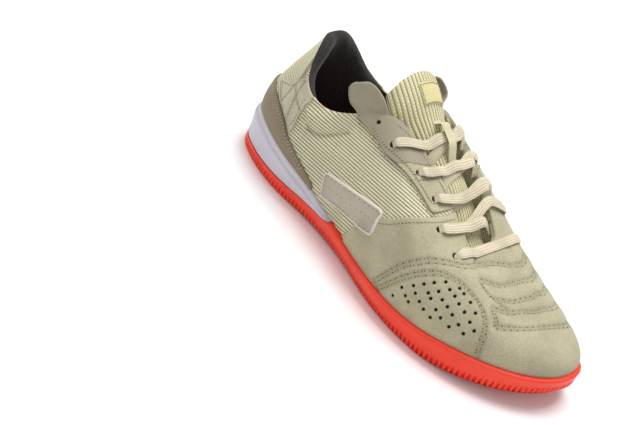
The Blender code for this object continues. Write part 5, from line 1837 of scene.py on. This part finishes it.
@dataclass
class Overlays(Assembly):
    """Every panel sewn on the knit: vamp, counter, eyestays with tabs, ankle and collar patches, film."""

    def build(self) -> None:
        """Make the panels and their seams."""
        self.vamp()
        self.counter()
        for side in Side:
            self.eyestay(side)
            self.tab(side)
            self.ankle(side)
        self.film()

    def vamp(self) -> None:
        """The suede vamp with its arches, quilting rows and punched side."""
        lines, sewn = [], []
        rows = [(table, (-0.0011, 0.0011)) for table in (ROW_TWO, ROW_THREE, ROW_FOUR, ROW_FIVE)]
        for table, offsets in [(ARCH_OUTER, (-0.0011, 0.0011)), (ARCH_INNER, (-0.0004, -0.0026)),
                               (Side.MEDIAL.rows(ARCH_INNER), (0.0004, 0.0026))] + rows:
            path = sewn_path(table)
            lines.append((beside(path, sum(offsets) / 2), 0.00050, 0.0028))
            for offset in offsets:
                sewn.append(beside(path, offset))
                lines.append((sewn[-1], 0.00038, 0.0006))
        holes = [(s, t, 0.00108) for side in Side for s, t in side.rows(PUNCHES)]
        holes += [(side.turned(s), t, 0.0021) for s, t in EYELETS[4:] for side in Side]
        panel = Panel("vamp_panel", (0.2253, 0.7747), constant(0.0), edge_curve(VAMP_TOP), VAMP,
                      ("vamp_suede",), "vamp_suede", columns=720, rows=112, lines=lines, holes=holes,
                      open_low=True, ends_round=False).build(self)
        edge = sewn_path(Side.LATERAL.rows(VAMP_TOP[1:-2], -0.03))
        for line in sewn + [edge, np.column_stack([1.0 - edge[:, 0], edge[:, 1]])]:
            panel.sew(self.seams, line, QUILT_STITCH)

    def counter(self) -> None:
        """The suede heel counter."""
        top = edge_curve(COUNTER_TOP)
        Panel("counter_panel", (-0.1622, 0.1622), constant(0.0), top, COUNTER, ("heel_counter",),
              "counter_suede", columns=220, rows=36, open_low=True).build(self)
        station = np.linspace(-0.150, 0.150, 400)
        self.seams.on_wall(even_path(np.column_stack([station, top(station) - 0.035])), 0.0017, HEEL_STITCH)

    def eyestay(self, side: Side) -> None:
        """One eyestay: smooth upper part and suede lower part, zigzagged to the knit.

        Args:
            side: Side of the foot.
        """
        low, step = edge_curve(EYESTAY_LOW, side), edge_curve(EYESTAY_STEP, side)
        holes = [(*hole, 0.0021 if n else 0.0014) for n, hole in enumerate(side.rows(EYELETS[:4]))]
        shape = {"holes": holes, "columns": 140, "open_high": True}
        Panel("eyestay_upper_" + side.word, (side.turned(0.2753), side.turned(0.3635)),
              lambda station: np.maximum(low(station), step(station)), constant(1.0), EYESTAY,
              ("eyestay_" + side.word,), "eyestay_leather", 0.0012, 0.0007, rows=50, **shape).build(self)
        Panel("eyestay_lower_" + side.word, (side.turned(0.3010), side.turned(0.3990)), low,
              lambda station: np.minimum(1.0, step(station) + 0.05), VAMP, (), "vamp_suede", 0.0011, 0.0004,
              rows=44, **shape).build(self)
        self.seams.on_wall(sewn_path(side.rows(EYESTAY_LOW[:6], -0.012)), 0.0010, ZIGZAG, zigzag=True)
        self.seams.on_wall(sewn_path(side.rows(EYESTAY_LOW[1:6], 0.045)), 0.0021, EYESTAY_STITCH)
        path = sewn_path(side.rows(((0.327, 0.775), (0.345, 0.862), (0.3620, 0.945))))
        for offset in (-0.0013, 0.0013):
            self.seams.on_wall(beside(path, offset), 0.0017, STEP_STITCH)
        rim = [(station, 0.965) for station in np.linspace(0.312, 0.392, 12)]
        self.seams.on_wall(sewn_path(side.rows(rim)), 0.0020, THROAT_STITCH)

    def tab(self, side: Side) -> None:
        """The free top of an eyestay: a sheet through rows across it, narrowed to round its end.

        Args:
            side: Side of the foot.
        """
        sign = side.value
        columns, fine = 40, 44
        spread = np.linspace(0.0, 1.0, columns)
        stations = side.turned(TAB_STATIONS[0] + spread * (TAB_STATIONS[1] - TAB_STATIONS[0]))
        rim = FORM.wall(stations, np.ones(columns))
        rising = unit(rim - FORM.wall(stations, np.full(columns, 0.98)))
        normal = FORM.normal(stations, np.ones(columns))
        rows = [rim - rising * 0.0040 + normal * 0.0002, rim + rising * 0.0006 + normal * 0.0004]
        moved = np.array([0.010 * LENGTH, 0.140 * BALL_WIDTH]) if side is Side.MEDIAL else np.zeros(2)
        for row in TAB:
            left, right = np.array(row[0:3]), np.array(row[3:6])
            line = (left + (right - left) * spread[:, None]) * np.array([LENGTH, BALL_WIDTH, HEEL_HEIGHT])
            line[:, 1] = (line[:, 1] - np.sin(spread * math.pi) * 0.0012) * -sign
            line[:, 0:2] += moved + FORM.shift
            rows.append(line)
        sheet = even_spline(np.array(rows), np.linspace(0, len(rows) - 1, fine))
        share = np.linspace(0.0, 1.0, fine)
        pinch = np.clip(1.0 - np.clip((share - 0.80) / 0.20, 0, 1)**2.6, 0.0, 1.0)**0.4
        middle = 0.5 * (sheet[:, :1] + sheet[:, -1:])
        width = (1.0 + 0.16 * smoothstep(0.35, 0.9, share)) * (0.45 + 0.55 * pinch)
        sheet = middle + (sheet - middle) * width[:, None, None]
        across = flipped_to(grid_normals(sheet), np.array([0.0, sign, 0.2]))
        i, j = np.indices((fine, columns))
        border = np.minimum(np.minimum(j, columns - 1 - j), fine - 1 - i) / 2.0
        round_off = rounded(border)[..., None]
        outer = sheet + across * (0.0006 + 0.0009 * round_off)
        inner = sheet + across * (0.0006 - 0.0006 * round_off)
        closed = np.concatenate([outer, inner[:, ::-1], outer[:, :1]], axis=1)
        last = np.broadcast_to(closed[-1:].mean(axis=1, keepdims=True), closed[-1:].shape)
        closed = np.concatenate([closed, last])
        facing = np.concatenate([across, -across[:, ::-1], across[:, :1]], axis=1)
        facing = np.concatenate([facing, facing[-1:]])
        fields = {key: np.full(closed.shape[:2], FAR) for key in ("hole", "seam", "edge")}
        self.add("tab_" + side.word, closed, EYESTAY, facing, ("eyestay_tab_" + side.word,),
                 "eyestay_leather", fields=fields)
        up = across[:-3, 3]
        self.seams.run(outer[:-3, 3] + up * 0.0001, up, TAB_STITCH)

    def ankle(self, side: Side) -> None:
        """The smooth panel by the ankle and the patch by the collar.

        Args:
            side: Side of the foot.
        """
        ridges = [sewn_path(side.rows(table)) for table in PATCH_RIDGES]
        panel = Panel("ankle_" + side.word, (side.turned(0.0503), side.turned(0.1872)),
                      edge_curve(PATCH_LOW, side), edge_curve(PATCH_TOP, side), ANKLE,
                      ("ankle_panel_" + side.word, "collar_patch_" + side.word), "ankle_leather",
                      columns=170, rows=80, lines=[(path, 0.0006, 0.0009) for path in ridges]).build(self)
        border = [even_path(side.rows(table, rise)) for table, rise in
                  ((PATCH_LOW[:6], 0.03), (PATCH_LOW[5:-1], 0.06), (PATCH_TOP[:7], -0.03))]
        for path in ridges + border:
            panel.sew(self.seams, path, ANKLE_STITCH)

    def film(self) -> None:
        """The clear band low on the outer side, with a raised rim and rows of pinholes drawn as dark discs of
        painted shade.
        """
        count, rows = 140, 37
        run = BAND_LENGTH * (0.5 - 0.5 * np.cos(np.linspace(0.0, math.pi, count)))
        from_end = np.minimum(run, BAND_LENGTH - run)[:, None]
        half = BAND_HALF - BAND_CORNER * (1.0 - rounded(from_end / BAND_CORNER))
        share = np.sin(np.linspace(-0.5, 0.5, rows) * math.pi)
        along, up = np.broadcast_arrays((run - BAND_LENGTH / 2)[:, None], half * share)
        station, level = seen_from_side(BAND_AT, along * math.cos(BAND_RISE) - up * math.sin(BAND_RISE),
                                        along * math.sin(BAND_RISE) + up * math.cos(BAND_RISE))
        edge = np.minimum(half * (1.0 - np.abs(share)), from_end)
        rim = np.exp(-((edge - 0.0010) / 0.0006)**2)
        lift = 0.0005 + 0.0007 * smoothstep(0.0, 0.0005, edge) + 0.0006 * rim
        lift += 0.0014 * smoothstep(-0.02, 0.03, edge_curve(VAMP_TOP)(station) - level)
        border = FORM.wall(station, level)
        surface = np.concatenate([border[:, :1], FORM.lifted(station, level, lift), border[:, -1:]], axis=1)
        normals = edge_padded(FORM.normal(station, level), 1, 1, 1)
        surface = np.concatenate([surface[:1] - normals[:1] * 0.0012, surface,
                                  surface[-1:] - normals[-1:] * 0.0012])
        self.add("side_band", surface, FILM, normals, ("side_film",), "side_film",
                 fields={"edge": edge_padded(edge, 1, 1, 1)})
        # Pinholes drawn as dark discs of painted shade
        at, row = (grid.ravel() for grid in np.meshgrid(np.arange(18, count - 12, 8), (9, 19, 28)))
        ahead = unit(surface[at + 2, row] - surface[at, row])
        self.seams.punch(surface[at, row] + normals[at, row] * 0.0001, ahead, normals[at, row], 0.00035)


@dataclass
class Studio:
    """Pale floor, soft lights and the camera at the photograph's angle."""

    shared: Shared
    camera_at: tuple[float, float, float] = (0.50837, -0.79889, 0.59249)
    camera_right: tuple[float, float, float] = (0.60591418, 0.70793568, 0.36289816)
    camera_up: tuple[float, float, float] = (-0.62162871, 0.13666661, 0.7712976)
    lens: float = 97.0
    sensor: float = 36.0
    target: tuple[float, float, float] = (0.0, 0.0, 0.05)
    sky: float = 0.42
    # Name, place, length of the side in metres and watts of each light
    lights: tuple[tuple[str, tuple[float, float, float], float, float], ...] = (
        ("key", (-0.10, 0.35, 1.30), 0.8, 19.0), ("fill", (0.90, -1.00, 0.70), 1.0, 4.5),
        ("back", (-0.90, -0.40, 1.00), 1.0, 4.0),
    )

    def build(self) -> None:
        """Make the floor, lights, world and camera."""
        corners = np.array([[[-3, -3, -0.0002], [-3, 3, -0.0002]], [[3, -3, -0.0002], [3, 3, -0.0002]]])
        floor = grid_object("floor", corners, self.shared.use(FLOOR), np.broadcast_to(UP, corners.shape))
        for name, place, size, watts in self.lights:
            data = bpy.data.lights.new(name, "AREA")
            data.size = size
            data.energy = watts
            lamp = bpy.data.objects.new(name, data)
            lamp.location = place
            aim = Vector(self.target) - Vector(place)
            lamp.rotation_euler = aim.to_track_quat("-Z", "Y").to_euler()
            bpy.context.scene.collection.objects.link(lamp)
        world = bpy.data.worlds.new("studio")
        world.use_nodes = True
        background = world.node_tree.nodes["Background"]
        background.inputs["Color"].default_value = (1.0, 1.0, 1.0, 1.0)
        background.inputs["Strength"].default_value = self.sky
        bpy.context.scene.world = world
        bpy.context.scene.view_settings.view_transform = "Standard"
        self.camera()

    def camera(self) -> None:
        """Make the camera, rolled as the photograph is."""
        data = bpy.data.cameras.new("camera")
        data.lens = self.lens
        data.sensor_width = self.sensor
        data.clip_start = 0.01
        camera = bpy.data.objects.new("camera", data)
        right, up = Vector(self.camera_right).normalized(), Vector(self.camera_up).normalized()
        turn = Matrix((right, up, right.cross(up).normalized())).transposed().to_4x4()
        camera.matrix_world = Matrix.Translation(Vector(self.camera_at)) @ turn
        bpy.context.scene.collection.objects.link(camera)
        bpy.context.scene.camera = camera


def main() -> None:
    """Dress the frame, piece by piece."""
    logging.basicConfig(level=logging.INFO, format="%(message)s")
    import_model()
    shared, seams = Shared(), Seams()
    Studio(shared).build()
    for assembly in (Sole, Upper, Overlays, Tongue, Laces):
        assembly(shared, seams).build()
    seams.build(shared)


if __name__ == "__main__":
    main()
